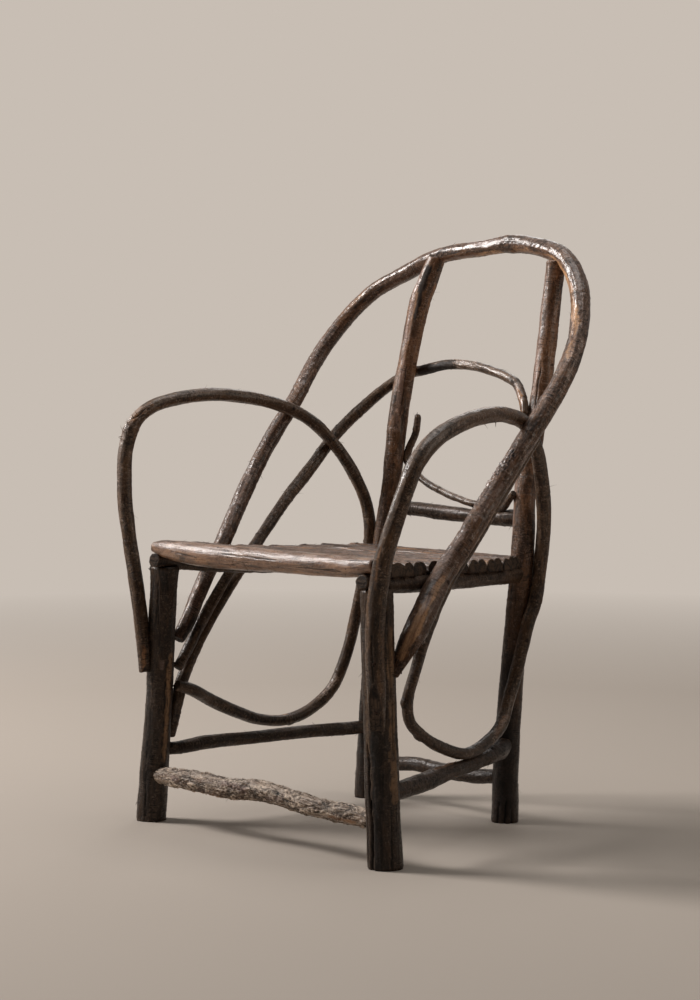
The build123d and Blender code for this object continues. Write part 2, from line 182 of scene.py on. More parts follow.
# how fast each noise changes across and along a stick: oval and lump around a circle of 1, the others in mm
grainNoise = {"oval": (0.7, 0.011), "lump": (1.3, 0.034), "ridge": (0.38, 0.03), "fine": (0.12, 0.17),
              "crust": (0.16, 0.34), "torn": (0.06, 0.03), "grit": (0.5, 0.4), "chip": (0.45, 0.4)}


def stickLine(stations, fine=1.0):
    # centripetal curve through the stations, as many small straight runs
    spots = [Vector((s[0], s[1], s[2], s[3])) for s in stations]
    last = len(spots) - 1
    line = []
    for i in range(last):
        b, c = spots[i], spots[i + 1]
        a = spots[i - 1] if i else b * 2 - c
        d = spots[i + 2] if i + 2 <= last else c * 2 - b
        k1 = sqrt((b - a).xyz.length)
        k2 = k1 + sqrt((c - b).xyz.length)
        k3 = k2 + sqrt((d - c).xyz.length)
        count = max(2, round((c - b).xyz.length / fine))
        for k in range(count):
            u = k1 + (k2 - k1) * k / count
            p1 = a.lerp(b, u / k1)
            p2 = b.lerp(c, (u - k1) / (k2 - k1))
            p3 = c.lerp(d, (u - k2) / (k3 - k2))
            q1 = p1.lerp(p2, u / k2)
            q2 = p2.lerp(p3, (u - k1) / (k3 - k1))
            line.append(q1.lerp(q2, (u - k1) / (k2 - k1)))
    line.append(spots[-1])
    return line


def measure(line):
    far = [0.0]
    for a, b in zip(line, line[1:]):
        far.append(far[-1] + (b - a).xyz.length)
    return far


def ringPlaces(length, step, endRound):
    # even rings, with a few close ones where an end rounds over
    close = (0, 0.12, 0.3, 0.6, 1)
    inner = length - endRound * 2
    count = max(2, ceil(inner / step))
    places = [endRound * t for t in close]
    places += [endRound + inner * k / count for k in range(1, count)]
    places += [length - endRound * t for t in close[::-1]]
    return places


def readLine(line, far, places):
    # middle and radius of the stick at each place
    centres, radii, j = [], [], 0
    for s in places:
        while j < len(far) - 2 and far[j + 1] < s:
            j += 1
        t = (s - far[j]) / max(far[j + 1] - far[j], 1e-9)
        q = line[j].lerp(line[j + 1], min(max(t, 0), 1))
        centres.append(q.xyz)
        radii.append(q.w)
    return centres, radii


def ringFrames(centres):
    # along, side and up at each ring, turned as little as the bends allow
    frames, side, last = [], None, len(centres) - 1
    for i in range(last + 1):
        along = (centres[min(i + 1, last)] - centres[max(i - 1, 0)]).normalized()
        if side is None:
            side = Vector((0, 0, 1)).cross(along)
            if side.length < 0.05:
                side = Vector((1, 0, 0))
        side = (side - along * side.dot(along)).normalized()
        frames.append((along, side.copy(), along.cross(side)))
    return frames


def budPlaces(length, gap, chance):
    # old bud rings, now and then along the stick: place, side, size
    buds = []
    s = chance.uniform(0.3, 1) * gap
    while s < length:
        buds.append((s, chance.uniform(0, 2 * pi), chance.uniform(0.4, 1)))
        s += chance.uniform(0.5, 1.5) * gap
    return buds


def marksHere(look, centre, along, r):
    # marks that reach this ring: kind, way out, distance past the mark's end, share along it, width, amount
    here = []
    for kind in ("cracks", "bares", "lights", "stains", "roughs"):
        for mark in look[kind]:
            start, run = Vector(mark[0]), Vector(mark[1]) - Vector(mark[0])
            share = (centre - start).dot(run) / run.length_squared
            past = max(0.0, -share, share - 1) * run.length
            if past > mark[2] + 8:
                continue
            share = min(max(share, 0.0), 1.0)
            way = start + run * share - centre
            if way.length < r * 2.4 + past:
                way = (way - along * way.dot(along)).normalized()
                here.append((kind, way, past, share, mark[2], mark[3] if len(mark) > 3 else 1.0))
    return here


def bumpy(how, u, v, s, seedU=0.0, seedV=0.0):
    across, along = grainNoise[how]
    return noise.noise(Vector((u * across + seedU, v * across + seedV, s * along)))


def barkRelief(look, seed, r, c, n, s):
    # how far the bark stands out, how fine noise runs there, and how dark it is
    cr, nr = c * r, n * r
    push = r * look["oval"] * bumpy("oval", c, n, s, seed)
    push += look["lump"] * bumpy("lump", c, n, s, 0, seed)
    push += look["ridge"] * bumpy("ridge", cr, nr, s, 0, seed)
    fine = bumpy("fine", cr, nr, s, seed)
    push += look["crust"] * (fine + 0.8 * bumpy("crust", cr, nr, s, 0, seed))
    dark, scab = 0.0, look["scab"]
    if scab:
        cell = noise.voronoi(Vector((cr * 0.1 + seed, nr * 0.1, s * 0.045))
                             + Vector((fine, fine, fine)) * 0.5)[0]
        plate = min((cell[1] - cell[0]) * tornPlate["edge"], 1.0)
        whole = bumpy("torn", cr, nr, s, 0, seed) > tornPlate["cutoff"]
        lift = plate if whole else tornPlate["stripped"]
        push += scab * (lift - tornPlate["level"]) + scab * tornPlate["grit"] * bumpy("grit", cr, nr, s)
        dark = max(dark, tornPlate["shade"] * (1 - plate * 2.2)) if whole else 0.0
    return push, fine, dark


def budRelief(rings, turn, push, dark):
    # a swollen ring with a groove beside it, strongest on the bud's own side
    for angle, size, past in rings:
        reach = size * (0.55 + 0.45 * cos(turn - angle))
        groove = past - budRing["grooveAt"]
        push += (budRing["high"] * reach * exp(-(past / budRing["spread"]) ** 2)
                 - budRing["groove"] * reach * exp(-(groove / budRing["grooveWide"]) ** 2))
        dark = max(dark, budRing["shade"] * reach * exp(-(groove / budRing["shadeWide"]) ** 2))
    return push, dark


def knotRelief(knots, spot, push, dark):
    # a round swelling with a dark eye and a dark ring around it
    for at, size, high in knots:
        gap = (spot - Vector(at)).length / size
        if gap < 3:
            push += high * (exp(-gap * gap) - 0.35 * exp(-(gap * 3) ** 2))
            eye = exp(-(gap * 2.4) ** 2)
            dark = max(dark, 0.9 * eye, 0.6 * exp(-((gap - 1.2) * 3.5) ** 2))
    return push, dark


def crackDepth(mark, frame, out, r, s, seed):
    # share of a crack's full depth here: it wanders and narrows to both ends
    way, past, share, wide = mark[1:5]
    body = sin(pi * min(max(share, 0.04), 0.96)) ** 0.5
    width = wide * (0.3 + 0.7 * body) * (1 + crackWander["width"] * noise.noise(Vector((s * 0.07, seed, 0))))
    tilt = out.dot(frame[0].cross(way)) * r
    off = abs(tilt + crackWander["by"] * noise.noise(Vector((s * 0.05, seed, 3)))) + past
    return exp(-(off / width) ** 2)


def patchCover(mark, around, c, n, r, s, seed):
    # 1 inside a worn, pale or stained patch and 0 outside, with a ragged edge
    past, wide, amount = mark[2], mark[4], mark[5]
    gap = sqrt(around * around + past * past)
    ragged = wide * (1 + patchEdge["slow"] * noise.noise(Vector((s * 0.05, c * 2.5, n * 2.5 + seed))))
    ragged += patchEdge["quick"] * noise.noise(Vector((s * 0.2, c * r * 0.33, n * r * 0.33 + seed)))
    return min(max((ragged - gap) / patchEdge["fade"] + 0.5, 0), 1) * amount


def scaleRelief(cover, cr, nr, s, seed, fine):
    # scaly bark that still clings on: how far it stands out, how pale and how dark it is
    cell = noise.voronoi(Vector((cr * 0.3 + seed, nr * 0.3, s * 0.2)) + Vector((fine, 0, fine)) * 0.6)[0]
    rim = min((cell[1] - cell[0]) * clingingScales["edge"], 1.0)
    chip = bumpy("chip", cr, nr, s, 0, seed)
    push = cover * (clingingScales["high"] * rim - clingingScales["sunk"] + clingingScales["chips"] * chip)
    pale = cover * min(max((chip - clingingScales["paleFrom"]) * 6, 0.0), clingingScales["palest"])
    return push, pale, cover * clingingScales["shade"] * (1 - min(rim * 2.4, 1.0))


def growStick(name, look):
    look = {**usualStick, **look}
    line = stickLine(look["stations"])
    far = measure(line)
    length = far[-1]
    seed = look["seed"] * 7.31
    chance = random.Random(look["seed"])
    sides, flatFoot = look["sides"], look["flatFoot"]
    (roundA, roundB), (sinkA, sinkB) = look["rounding"], look["sink"]
    cuts = [(Vector(c[0]), Vector(c[1]).normalized(), c[2]) for c in look["cuts"]]
    buds = budPlaces(length, look["buds"], chance)
    places = ringPlaces(length, look["step"], max(roundA, roundB, 2.5))
    if flatFoot:
        places = [p for p in places if p == 0 or p > 2.2]
    centres, radii = readLine(line, far, places)
    frames = ringFrames(centres)
    last = len(places) - 1
    parts = newParts()
    for i, s in enumerate(places):
        along, side, up = frames[i]
        r = radii[i]
        shrink = 1.0
        if s < roundA:
            shrink -= sinkA * (1 - s / roundA) ** 2
        if length - s < roundB:
            shrink -= sinkB * (1 - (length - s) / roundB) ** 2
        marks = marksHere(look, centres[i], along, r)
        rings = [(angle, size, s - at) for at, angle, size in buds if abs(s - at) < budRing["reach"]]
        knots = [k for k in look["knots"] if (centres[i] - Vector(k[0])).length < r * 1.6 + k[1] * 3]
        for k in range(sides):
            turn = 2 * pi * k / sides
            c, n = cos(turn), sin(turn)
            out = side * c + up * n
            push, fine, dark = barkRelief(look, seed, r, c, n, s)
            push, dark = budRelief(rings, turn, push, dark)
            push, dark = knotRelief(knots, centres[i] + out * r, push, dark)
            bare, paleAndHighlight = 0.0, 0.0
            for mark in marks:
                kind, wide, amount = mark[0], mark[4], mark[5]
                around = r * acos(max(-1.0, min(1.0, out.dot(mark[1]))))
                if around > wide * 2.5 + 4:
                    continue
                if kind == "cracks":
                    depth = crackDepth(mark, frames[i], out, r, s, seed)
                    push -= amount * depth
                    # painted shade inside the crack
                    dark = max(dark, min(1.0, depth * 1.5))
                    continue
                cover = patchCover(mark, around, c, n, r, s, seed)
                if kind == "roughs":
                    rise, pale, shade = scaleRelief(cover, c * r, n * r, s, seed, fine)
                    push, paleAndHighlight, dark = push + rise, max(paleAndHighlight, pale), max(dark, shade)
                elif kind == "bares":
                    bare = max(bare, cover)
                # pale torn bark, and painted highlights on the lit faces of some sticks
                elif kind == "lights":
                    paleAndHighlight = max(paleAndHighlight, cover)
                # dark patches: real stains, and painted shade where a stick lies in shadow
                else:
                    dark = max(dark, cover)
            push -= 0.6 * bare + look["bias"]
            full = (r + push) * shrink
            p = centres[i] + out * full
            chopped = 0.0
            for at, away, reach in cuts:
                over = (p - at).dot(away)
                if over > 0 and (p - at).length < reach:
                    p = p - away * over
                    chopped = min(1.0, chopped + over * 2)
            if flatFoot and i == 0:
                p = p - along * (p.z / along.z)
            addPoint(parts, (p + shift) * mm, (c * full * mm, n * full * mm, s * mm),
                     chopped, bare, dark, paleAndHighlight)
    joinRings(parts["faces"], 0, last + 1, sides)
    for ring, flip in ((0, True), (last, False)):
        def sawMark(k, inset):
            if flatFoot and ring == 0:
                return Vector()
            dent = abs(0.5 * noise.noise(Vector((k * 0.9, inset * 9, seed))))
            return frames[ring][0] * (dent if flip else -dent) * mm

        closeEnd(parts, ring * sides, sides, flip, (0.78, 0.5, 0.22), sawMark)
        parts["cut"][ring * sides:(ring + 1) * sides] = [1.0] * sides
    addLooseBark(parts, look, chance, frames, centres, radii)
    return woodPiece(name, parts)


def addLooseBark(parts, look, chance, frames, centres, radii):
    # fibres at random along the stick, and longer hairs where a branch or a strip was torn off
    last = len(centres) - 1
    for _ in range(look["fibres"]):
        i = chance.randrange(4, last - 4)
        along, side, up = frames[i]
        turn = chance.uniform(0, 2 * pi)
        out = side * cos(turn) + up * sin(turn)
        way = (along * chance.choice((-1, 1)) * chance.uniform(0.6, 1)
               + out * chance.uniform(0.25, 0.7)).normalized()
        root = centres[i] + out * (radii[i] - 1.4)
        addFibre(parts, root, way, out * chance.uniform(-0.3, 0.5) + along * 0.01, chance.uniform(4, 10),
                 chance.uniform(0.35, 0.8), parts["grain"][i * look["sides"]], chance.choice((0, 0, 0.5)))
    for root, way, length, thick, *pale in look["hairs"]:
        i = min(range(last + 1), key=lambda k: (centres[k] - Vector(root)).length)
        root = centres[i] + (Vector(root) - centres[i]).normalized() * (radii[i] - 1.6)
        droop = Vector((0.1, 0.2, chance.uniform(-0.6, 0.3)))
        addFibre(parts, root, Vector(way).normalized(), droop, length, thick, (0.01, 0, 0.1), 0.0, *pale)


# materials

def rgb(red, green, blue):
    # written as on screen, 0 to 255
    def straight(v):
        v /= 255
        return v / 12.92 if v <= 0.04045 else ((v + 0.055) / 1.055) ** 2.4
    return (straight(red), straight(green), straight(blue), 1.0)


def newGroup(name, inputs, outputs):
    group = bpy.data.node_groups.new(name, "ShaderNodeTree")
    group.interface.new_socket(name="Grain", in_out="INPUT", socket_type="NodeSocketVector")
    for label, value in inputs.items():
        socket = group.interface.new_socket(name=label, in_out="INPUT", socket_type="NodeSocketFloat")
        socket.default_value = value
    for label in outputs:
        group.interface.new_socket(name=label, in_out="OUTPUT", socket_type="NodeSocketFloat")
    return group, group.nodes.new("NodeGroupInput").outputs


def putOut(group, values):
    end = group.nodes.new("NodeGroupOutput")
    for label, value in values.items():
        group.links.new(value, end.inputs[label])
    return group


def feed(tree, socket, value):
    # a number or a colour is set on the socket, anything else is linked to it
    if isinstance(value, (int, float, tuple)):
        socket.default_value = value
    else:
        tree.links.new(value, socket)


def calc(tree, operation, a, b=None, clamp=False):
    node = tree.nodes.new("ShaderNodeMath")
    node.operation = operation
    node.use_clamp = clamp
    feed(tree, node.inputs[0], a)
    if b is not None:
        feed(tree, node.inputs[1], b)
    return node.outputs[0]


def times(tree, a, b, clamp=False):
    return calc(tree, "MULTIPLY", a, b, clamp)


def vectorMath(tree, operation, a, b=None):
    node = tree.nodes.new("ShaderNodeVectorMath")
    node.operation = operation
    feed(tree, node.inputs[0], a)
    if b is not None:
        feed(tree, node.inputs[1], b)
    return node.outputs["Value" if operation in ("LENGTH", "DOT_PRODUCT") else "Vector"]


def noiseAt(tree, vector, amounts, detail, rough, distort=0.0):
    node = tree.nodes.new("ShaderNodeTexNoise")
    settings = {"Scale": 1.0, "Detail": detail, "Roughness": rough, "Distortion": distort}
    for label, value in settings.items():
        node.inputs[label].default_value = value
    feed(tree, node.inputs["Vector"], vectorMath(tree, "MULTIPLY", vector, amounts))
    return node.outputs["Fac"]


def remap(tree, value, low, high, outLow=0.0, outHigh=1.0):
    node = tree.nodes.new("ShaderNodeMapRange")
    settings = {"Value": value, "From Min": low, "From Max": high, "To Min": outLow, "To Max": outHigh}
    for label, setting in settings.items():
        feed(tree, node.inputs[label], setting)
    return node.outputs["Result"]


def blendColours(tree, factor, a, b):
    node = tree.nodes.new("ShaderNodeMix")
    node.data_type = "RGBA"
    for k, value in ((0, factor), (6, a), (7, b)):
        feed(tree, node.inputs[k], value)
    return node.outputs[2]


def addBump(tree, height, strength, depth):
    bump = tree.nodes.new("ShaderNodeBump")
    bump.inputs["Strength"].default_value = strength
    bump.inputs["Distance"].default_value = depth
    tree.links.new(height, bump.inputs["Height"])
    return bump.outputs["Normal"]


# how fast each pattern changes across and along the grain, per metre, then detail, roughness and distortion
barkPatterns = {
    "streak": ((270, 270, 24), 5, 0.68, 0.5), "broad": ((44, 44, 13), 5, 0.66, 0.8),
    "blotch": ((74, 74, 62), 7, 0.76, 0.8), "fleck": ((300, 300, 240), 4, 0.75, 0.3),
    "tick": ((120, 120, 520), 4, 0.7, 0.5), "thread": ((420, 420, 26), 3, 0.6, 0.6),
    "ringLines": ((38, 38, 640), 3, 0.62, 0.8), "ringZones": ((34, 34, 20), 5, 0.66, 0.6),
    "wornZones": ((48, 48, 15), 7, 0.75, 1.0), "rare": ((70, 70, 60), 2, 0.5, 0.0)}
pitScale = (240, 240, 170)


def buildBarkGroup():
    # young bark is marked across the stick: ticks, rings, flecks and pits, over slow warm and dark zones
    group, put = newGroup(
        "youngBark", {"Streaks": 0.4, "Blotches": 1.0, "Pits": 1.0, "Threads": 0.5, "Rings": 1.0},
        ("Warm", "Streak", "Blotch", "Fleck", "Dark", "Worn", "Height", "Grit"))
    seen = {name: noiseAt(group, put["Grain"], *how) for name, how in barkPatterns.items()}
    pitCells = group.nodes.new("ShaderNodeTexVoronoi")
    pitCells.inputs["Scale"].default_value = 1.0
    group.links.new(vectorMath(group, "MULTIPLY", put["Grain"], pitScale), pitCells.inputs["Vector"])
    pit = times(group, remap(group, pitCells.outputs["Distance"], 0.08, 0.3, 1, 0),
                remap(group, seen["rare"], 0.43, 0.53))
    pit = times(group, pit, put["Pits"], True)
    streak = times(group, remap(group, seen["streak"], 0.46, 0.6), put["Streaks"], True)
    blotch = times(group, remap(group, seen["blotch"], 0.43, 0.54), put["Blotches"], True)
    thread = times(group, remap(group, seen["thread"], 0.57, 0.66), put["Threads"], True)
    zone = times(group, remap(group, seen["ringZones"], 0.44, 0.57), put["Rings"], True)
    salt = times(group, remap(group, seen["tick"], 0.55, 0.61), zone)
    pepper = times(group, remap(group, seen["tick"], 0.45, 0.39), zone)
    ring = times(group, remap(group, seen["ringLines"], 0.58, 0.64), zone)
    fleck = calc(group, "MAXIMUM", remap(group, seen["fleck"], 0.55, 0.61), salt)
    fleck = times(group, fleck, remap(group, seen["blotch"], 0.4, 0.56), True)
    dark = calc(group, "MAXIMUM", times(group, thread, 0.8), calc(group, "MAXIMUM", pit, ring))
    dark = calc(group, "MAXIMUM", dark, times(group, pepper, 0.85))
    rippled = times(group, seen["tick"], remap(group, zone, 0, 1, 0.12, 0.5))
    grit = calc(group, "ADD", times(group, seen["fleck"], 0.6), rippled)
    grit = calc(group, "SUBTRACT", grit, times(group, dark, 0.3))
    height = calc(group, "ADD", times(group, seen["streak"], times(group, put["Streaks"], 0.7)), grit)
    height = calc(group, "ADD", height, times(group, seen["blotch"], 0.4))
    return putOut(group, {
        "Warm": remap(group, seen["broad"], 0.42, 0.58), "Streak": streak, "Blotch": blotch, "Fleck": fleck,
        "Dark": dark, "Worn": remap(group, seen["wornZones"], 0.53, 0.58), "Height": height, "Grit": grit})


def buildWearGroup():
    # dust and rubbing on the sides that face up, with a painted sheen there, and how high above the floor a
    # place is
    group, put = newGroup("topWearAndSheen", {"Amount": 1.0}, ("Top", "Edge", "Low"))
    geometry = group.nodes.new("ShaderNodeNewGeometry")
    facing = group.nodes.new("ShaderNodeSeparateXYZ")
    group.links.new(geometry.outputs["Normal"], facing.inputs[0])
    patches = noiseAt(group, put["Grain"], (150, 150, 34), 6, 0.72, 0.6)
    top = times(group, remap(group, facing.outputs["Z"], -0.05, 0.9), remap(group, patches, 0.42, 0.6), True)
    top = times(group, top, put["Amount"], True)
    edge = times(group, remap(group, geometry.outputs["Pointiness"], 0.505, 0.54), put["Amount"], True)
    where = group.nodes.new("ShaderNodeSeparateXYZ")
    group.links.new(group.nodes.new("ShaderNodeTexCoord").outputs["Object"], where.inputs[0])
    low = remap(group, where.outputs["Z"], 0.1, 0.62, 1, 0)
    return putOut(group, {"Top": top, "Edge": edge, "Low": low})


def buildEndGrainGroup():
    # growth rings and drying cracks on a cut end
    group, put = newGroup("endGrain", {}, ("Ring", "Check"))
    flat = vectorMath(group, "MULTIPLY", put["Grain"], (1, 1, 0))
    wander = noiseAt(group, flat, (160, 160, 0), 3, 0.5)
    rings = calc(group, "ADD", times(group, vectorMath(group, "LENGTH", flat), 2400), times(group, wander, 7))
    return putOut(group, {
        "Ring": remap(group, calc(group, "SINE", rings), -1, 1),
        "Check": remap(group, noiseAt(group, flat, (300, 420, 0), 4, 0.7), 0.5, 0.58)})


barkGroup = buildBarkGroup()
wearAndSheenGroup = buildWearGroup()
endGroup = buildEndGrainGroup()


def useGroup(tree, group, **values):
    node = tree.nodes.new("ShaderNodeGroup")
    node.node_tree = group
    for label, value in values.items():
        feed(tree, node.inputs[label], value)
    return node.outputs


# what a wood has where its own dictionary doesn't say
usualWood = {
    "streaks": 0.4, "blotches": 1.0, "pits": 1.0, "threads": 0.5, "rings": 1.0, "wearAndSheen": 1.0,
    "streakShare": 0.6, "edge": 0.3, "flecks": 0.4, "darkening": 0.45,
    "paleAndHighlightDeep": rgb(140, 116, 105), "paleAndHighlightBright": rgb(208, 186, 177),      # pale torn places, and painted highlights
    "bareDeep": rgb(112, 74, 46), "bareLight": rgb(190, 138, 94),      # wood without its bark
    "cutDeep": rgb(22, 16, 13), "cutLight": rgb(76, 58, 44),           # sawn ends
    "ringTone": rgb(104, 82, 64), "ringShare": 0.25, "checkTone": rgb(18, 14, 12), "checkShare": 0.6,
    "darkTone": rgb(15, 12, 11), "darkShare": 0.88,
    "roughHigh": 0.6, "roughLow": 0.34, "darkRough": 0.25, "cutRough": 0.2, "shine": 0.3,
    "dullCoat": 0.05, "lowSheen": 0.35, "coatRough": 0.35,
    "bump": 0.55, "bumpDepth": 0.0012, "wax": 0.8, "waxDepth": 0.0004, "waxFrom": "Grit"}


def woodMaterial(name, look):
    look = {**usualWood, **look}
    material = bpy.data.materials.new(name)
    material.use_nodes = True
    tree = material.node_tree
    shader = tree.nodes["Principled BSDF"]
    masks = {}
    for label in ("grain", "cut", "bare", "dark", "paleAndHighlight"):
        masks[label] = tree.nodes.new("ShaderNodeAttribute")
        masks[label].attribute_name = label
    grain = masks.pop("grain").outputs["Vector"]
    masks = {label: node.outputs["Fac"] for label, node in masks.items()}
    moved = vectorMath(tree, "ADD", grain, (0, 0, look["offset"]))
    bark = useGroup(tree, barkGroup, Grain=moved, Streaks=look["streaks"], Blotches=look["blotches"],
                    Pits=look["pits"], Threads=look["threads"], Rings=look["rings"])
    wearAndSheen = useGroup(tree, wearAndSheenGroup, Grain=moved, Amount=look["wearAndSheen"])
    ends = useGroup(tree, endGroup, Grain=grain)

    def over(colour, factor, tone, amount):
        return blendColours(tree, times(tree, factor, amount, True), colour, tone)

    colour = blendColours(tree, bark["Blotch"], look["deep"], look["main"])
    colour = over(colour, bark["Warm"], look["warm"], look["warmth"])
    colour = over(colour, bark["Streak"], look["worn"], look["streakShare"])
    colour = over(colour, bark["Worn"], look["worn"], look["rub"])
    colour = over(colour, wearAndSheen["Edge"], look["worn"], look["edge"])
    colour = over(colour, bark["Fleck"], look["pale"], look["flecks"])
    # paler sides that face up: dust, and a painted sheen
    colour = over(colour, wearAndSheen["Top"], look["pale"], look["dustAndSheen"])
    # darker towards the floor
    colour = over(colour, wearAndSheen["Low"], look["deep"], look["darkening"])
    # pale tone for torn bark and for painted highlights
    paleAndHighlightTone = blendColours(tree, bark["Fleck"], look["paleAndHighlightDeep"], look["paleAndHighlightBright"])
    colour = blendColours(tree, masks["paleAndHighlight"], colour, paleAndHighlightTone)
    bareTone = blendColours(tree, bark["Warm"], look["bareDeep"], look["bareLight"])
    colour = blendColours(tree, masks["bare"], colour, bareTone)
    cutTone = blendColours(tree, bark["Blotch"], look["cutDeep"], look["cutLight"])
    cutTone = over(cutTone, ends["Ring"], look["ringTone"], look["ringShare"])
    cutTone = over(cutTone, ends["Check"], look["checkTone"], look["checkShare"])
    colour = blendColours(tree, masks["cut"], colour, cutTone)
    # dark marks of the bark with the dark mask: real stains and knots, and painted shade in cracks, bark
    # crevices, bud grooves, under the seat slats and in shaded patches
    darkening = calc(tree, "MAXIMUM", bark["Dark"], masks["dark"])
    colour = over(colour, darkening, look["darkTone"], look["darkShare"])
    tree.links.new(colour, shader.inputs["Base Color"])

    rough = remap(tree, bark["Height"], 0.45, 0.95, look["roughHigh"], look["roughLow"])
    rough = calc(tree, "ADD", rough, times(tree, darkening, look["darkRough"]), True)
    rough = calc(tree, "ADD", rough, times(tree, masks["cut"], look["cutRough"]), True)
    tree.links.new(rough, shader.inputs["Roughness"])
    shader.inputs["Specular IOR Level"].default_value = look["shine"]
    # old wax: none left on dark marks, painted shade and cuts, less of it near the floor
    sheen = remap(tree, calc(tree, "MAXIMUM", darkening, masks["cut"]), 0, 1, look["coat"], look["dullCoat"])
    faded = remap(tree, wearAndSheen["Low"], 0, 0.5, 1, look["lowSheen"])
    tree.links.new(times(tree, sheen, faded), shader.inputs["Coat Weight"])
    shader.inputs["Coat Roughness"].default_value = look["coatRough"]
    skin = addBump(tree, bark["Height"], look["bump"], look["bumpDepth"])
    tree.links.new(skin, shader.inputs["Normal"])
    wax = addBump(tree, bark[look["waxFrom"]], look["wax"], look["waxDepth"])
    tree.links.new(wax, shader.inputs["Coat Normal"])
    return material


# the finishes

postWood = woodMaterial("postWood", {
    "deep": rgb(17, 12, 8), "main": rgb(46, 34, 25), "warm": rgb(66, 46, 30), "worn": rgb(98, 72, 50),
    "pale": rgb(128, 108, 92), "warmth": 0.6, "rub": 0.4, "dustAndSheen": 0.25, "flecks": 0.75, "streaks": 0.6,
    "threads": 0.8, "bareDeep": rgb(96, 72, 50), "bareLight": rgb(158, 122, 88), "roughLow": 0.34,
    "roughHigh": 0.62, "coat": 0.35, "coatRough": 0.26, "bumpDepth": 0.0016, "offset": 0.3})
backWood = woodMaterial("backPostWood", {
    "deep": rgb(28, 19, 13), "main": rgb(76, 55, 41), "warm": rgb(120, 82, 52), "worn": rgb(168, 122, 88),
    "pale": rgb(190, 160, 142), "warmth": 0.7, "rub": 0.6, "dustAndSheen": 0.35, "flecks": 0.75, "darkening": 0.9,
    "bareDeep": rgb(150, 104, 70), "bareLight": rgb(224, 170, 126),
    "paleAndHighlightDeep": rgb(166, 136, 122), "paleAndHighlightBright": rgb(226, 202, 190),
    "roughLow": 0.28, "roughHigh": 0.52, "coat": 0.6, "coatRough": 0.21, "offset": 1.7})
hoopWood = woodMaterial("hoopWood", {
    "deep": rgb(24, 16, 11), "main": rgb(66, 47, 35), "warm": rgb(98, 66, 44), "worn": rgb(150, 108, 76),
    "pale": rgb(190, 162, 146), "warmth": 0.6, "rub": 0.5, "dustAndSheen": 0.3, "flecks": 0.75,
    "bareDeep": rgb(124, 84, 56), "bareLight": rgb(222, 172, 128), "roughLow": 0.27,
    "roughHigh": 0.46, "coat": 0.8, "coatRough": 0.2, "offset": 3.1})
saplingWood = woodMaterial("saplingWood", {
    "deep": rgb(24, 17, 12), "main": rgb(64, 48, 35), "warm": rgb(90, 63, 41), "worn": rgb(134, 100, 70),
    "pale": rgb(164, 140, 122), "warmth": 0.6, "rub": 0.45, "dustAndSheen": 0.3, "flecks": 0.75,
    "paleAndHighlightDeep": rgb(160, 136, 120), "paleAndHighlightBright": rgb(222, 202, 186), "roughLow": 0.3, "roughHigh": 0.54,
    "coat": 0.6, "coatRough": 0.21, "offset": 5.3})
railWood = woodMaterial("railWood", {
    "deep": rgb(18, 12, 8), "main": rgb(48, 36, 26), "warm": rgb(76, 53, 34), "worn": rgb(112, 82, 56),
    "pale": rgb(142, 120, 104), "warmth": 0.55, "rub": 0.4, "dustAndSheen": 0.32, "flecks": 0.75, "roughLow": 0.34,
    "roughHigh": 0.6, "coat": 0.4, "coatRough": 0.25, "bumpDepth": 0.0015, "offset": 7.9})
slatWood = woodMaterial("slatWood", {
    "deep": rgb(18, 12, 9), "main": rgb(58, 43, 33), "warm": rgb(92, 66, 48), "worn": rgb(142, 112, 90),
    "pale": rgb(180, 154, 140), "warmth": 0.6, "rub": 0.6, "dustAndSheen": 0.4, "flecks": 0.5, "darkening": 0.0,
    "streaks": 0.9, "threads": 1.0, "rings": 0.35, "cutDeep": rgb(26, 18, 13), "cutLight": rgb(96, 74, 56),
    "roughLow": 0.3, "roughHigh": 0.55, "coat": 0.6, "coatRough": 0.24, "waxFrom": "Height",
    "waxDepth": 0.0008, "lowSheen": 1.0, "bumpDepth": 0.0016, "offset": 9.4})
poleWood = woodMaterial("poleWood", {
    "deep": rgb(32, 22, 15), "main": rgb(84, 61, 46), "warm": rgb(128, 90, 62), "worn": rgb(170, 132, 104),
    "pale": rgb(200, 170, 154), "warmth": 0.7, "rub": 0.6, "dustAndSheen": 0.4, "flecks": 0.45, "darkening": 0.0,
    "streaks": 1.0, "threads": 1.0, "rings": 0.25, "roughLow": 0.3, "roughHigh": 0.5, "coat": 0.9,
    "coatRough": 0.34, "waxFrom": "Height", "waxDepth": 0.001, "lowSheen": 1.0, "offset": 11.2})
flakyBark = woodMaterial("flakyBark", {
    "deep": rgb(14, 11, 9), "main": rgb(98, 80, 66), "warm": rgb(122, 86, 58), "worn": rgb(224, 202, 180),
    "pale": rgb(226, 210, 196), "warmth": 0.5, "rub": 0.85, "dustAndSheen": 0.5, "flecks": 0.85, "darkening": 0.0,
    "streaks": 0.9, "threads": 1.0, "rings": 0.3,
    "roughLow": 0.4, "roughHigh": 0.8, "coat": 0.25, "bump": 1.0, "bumpDepth": 0.003, "offset": 13.7})


ironLook = {"clean": rgb(30, 25, 22), "rust": rgb(66, 42, 28), "rustScale": (420, 420, 420),
            "rough": (0.42, 0.8), "metal": (0.9, 0.1), "bump": 0.5, "bumpDepth": 0.0004}


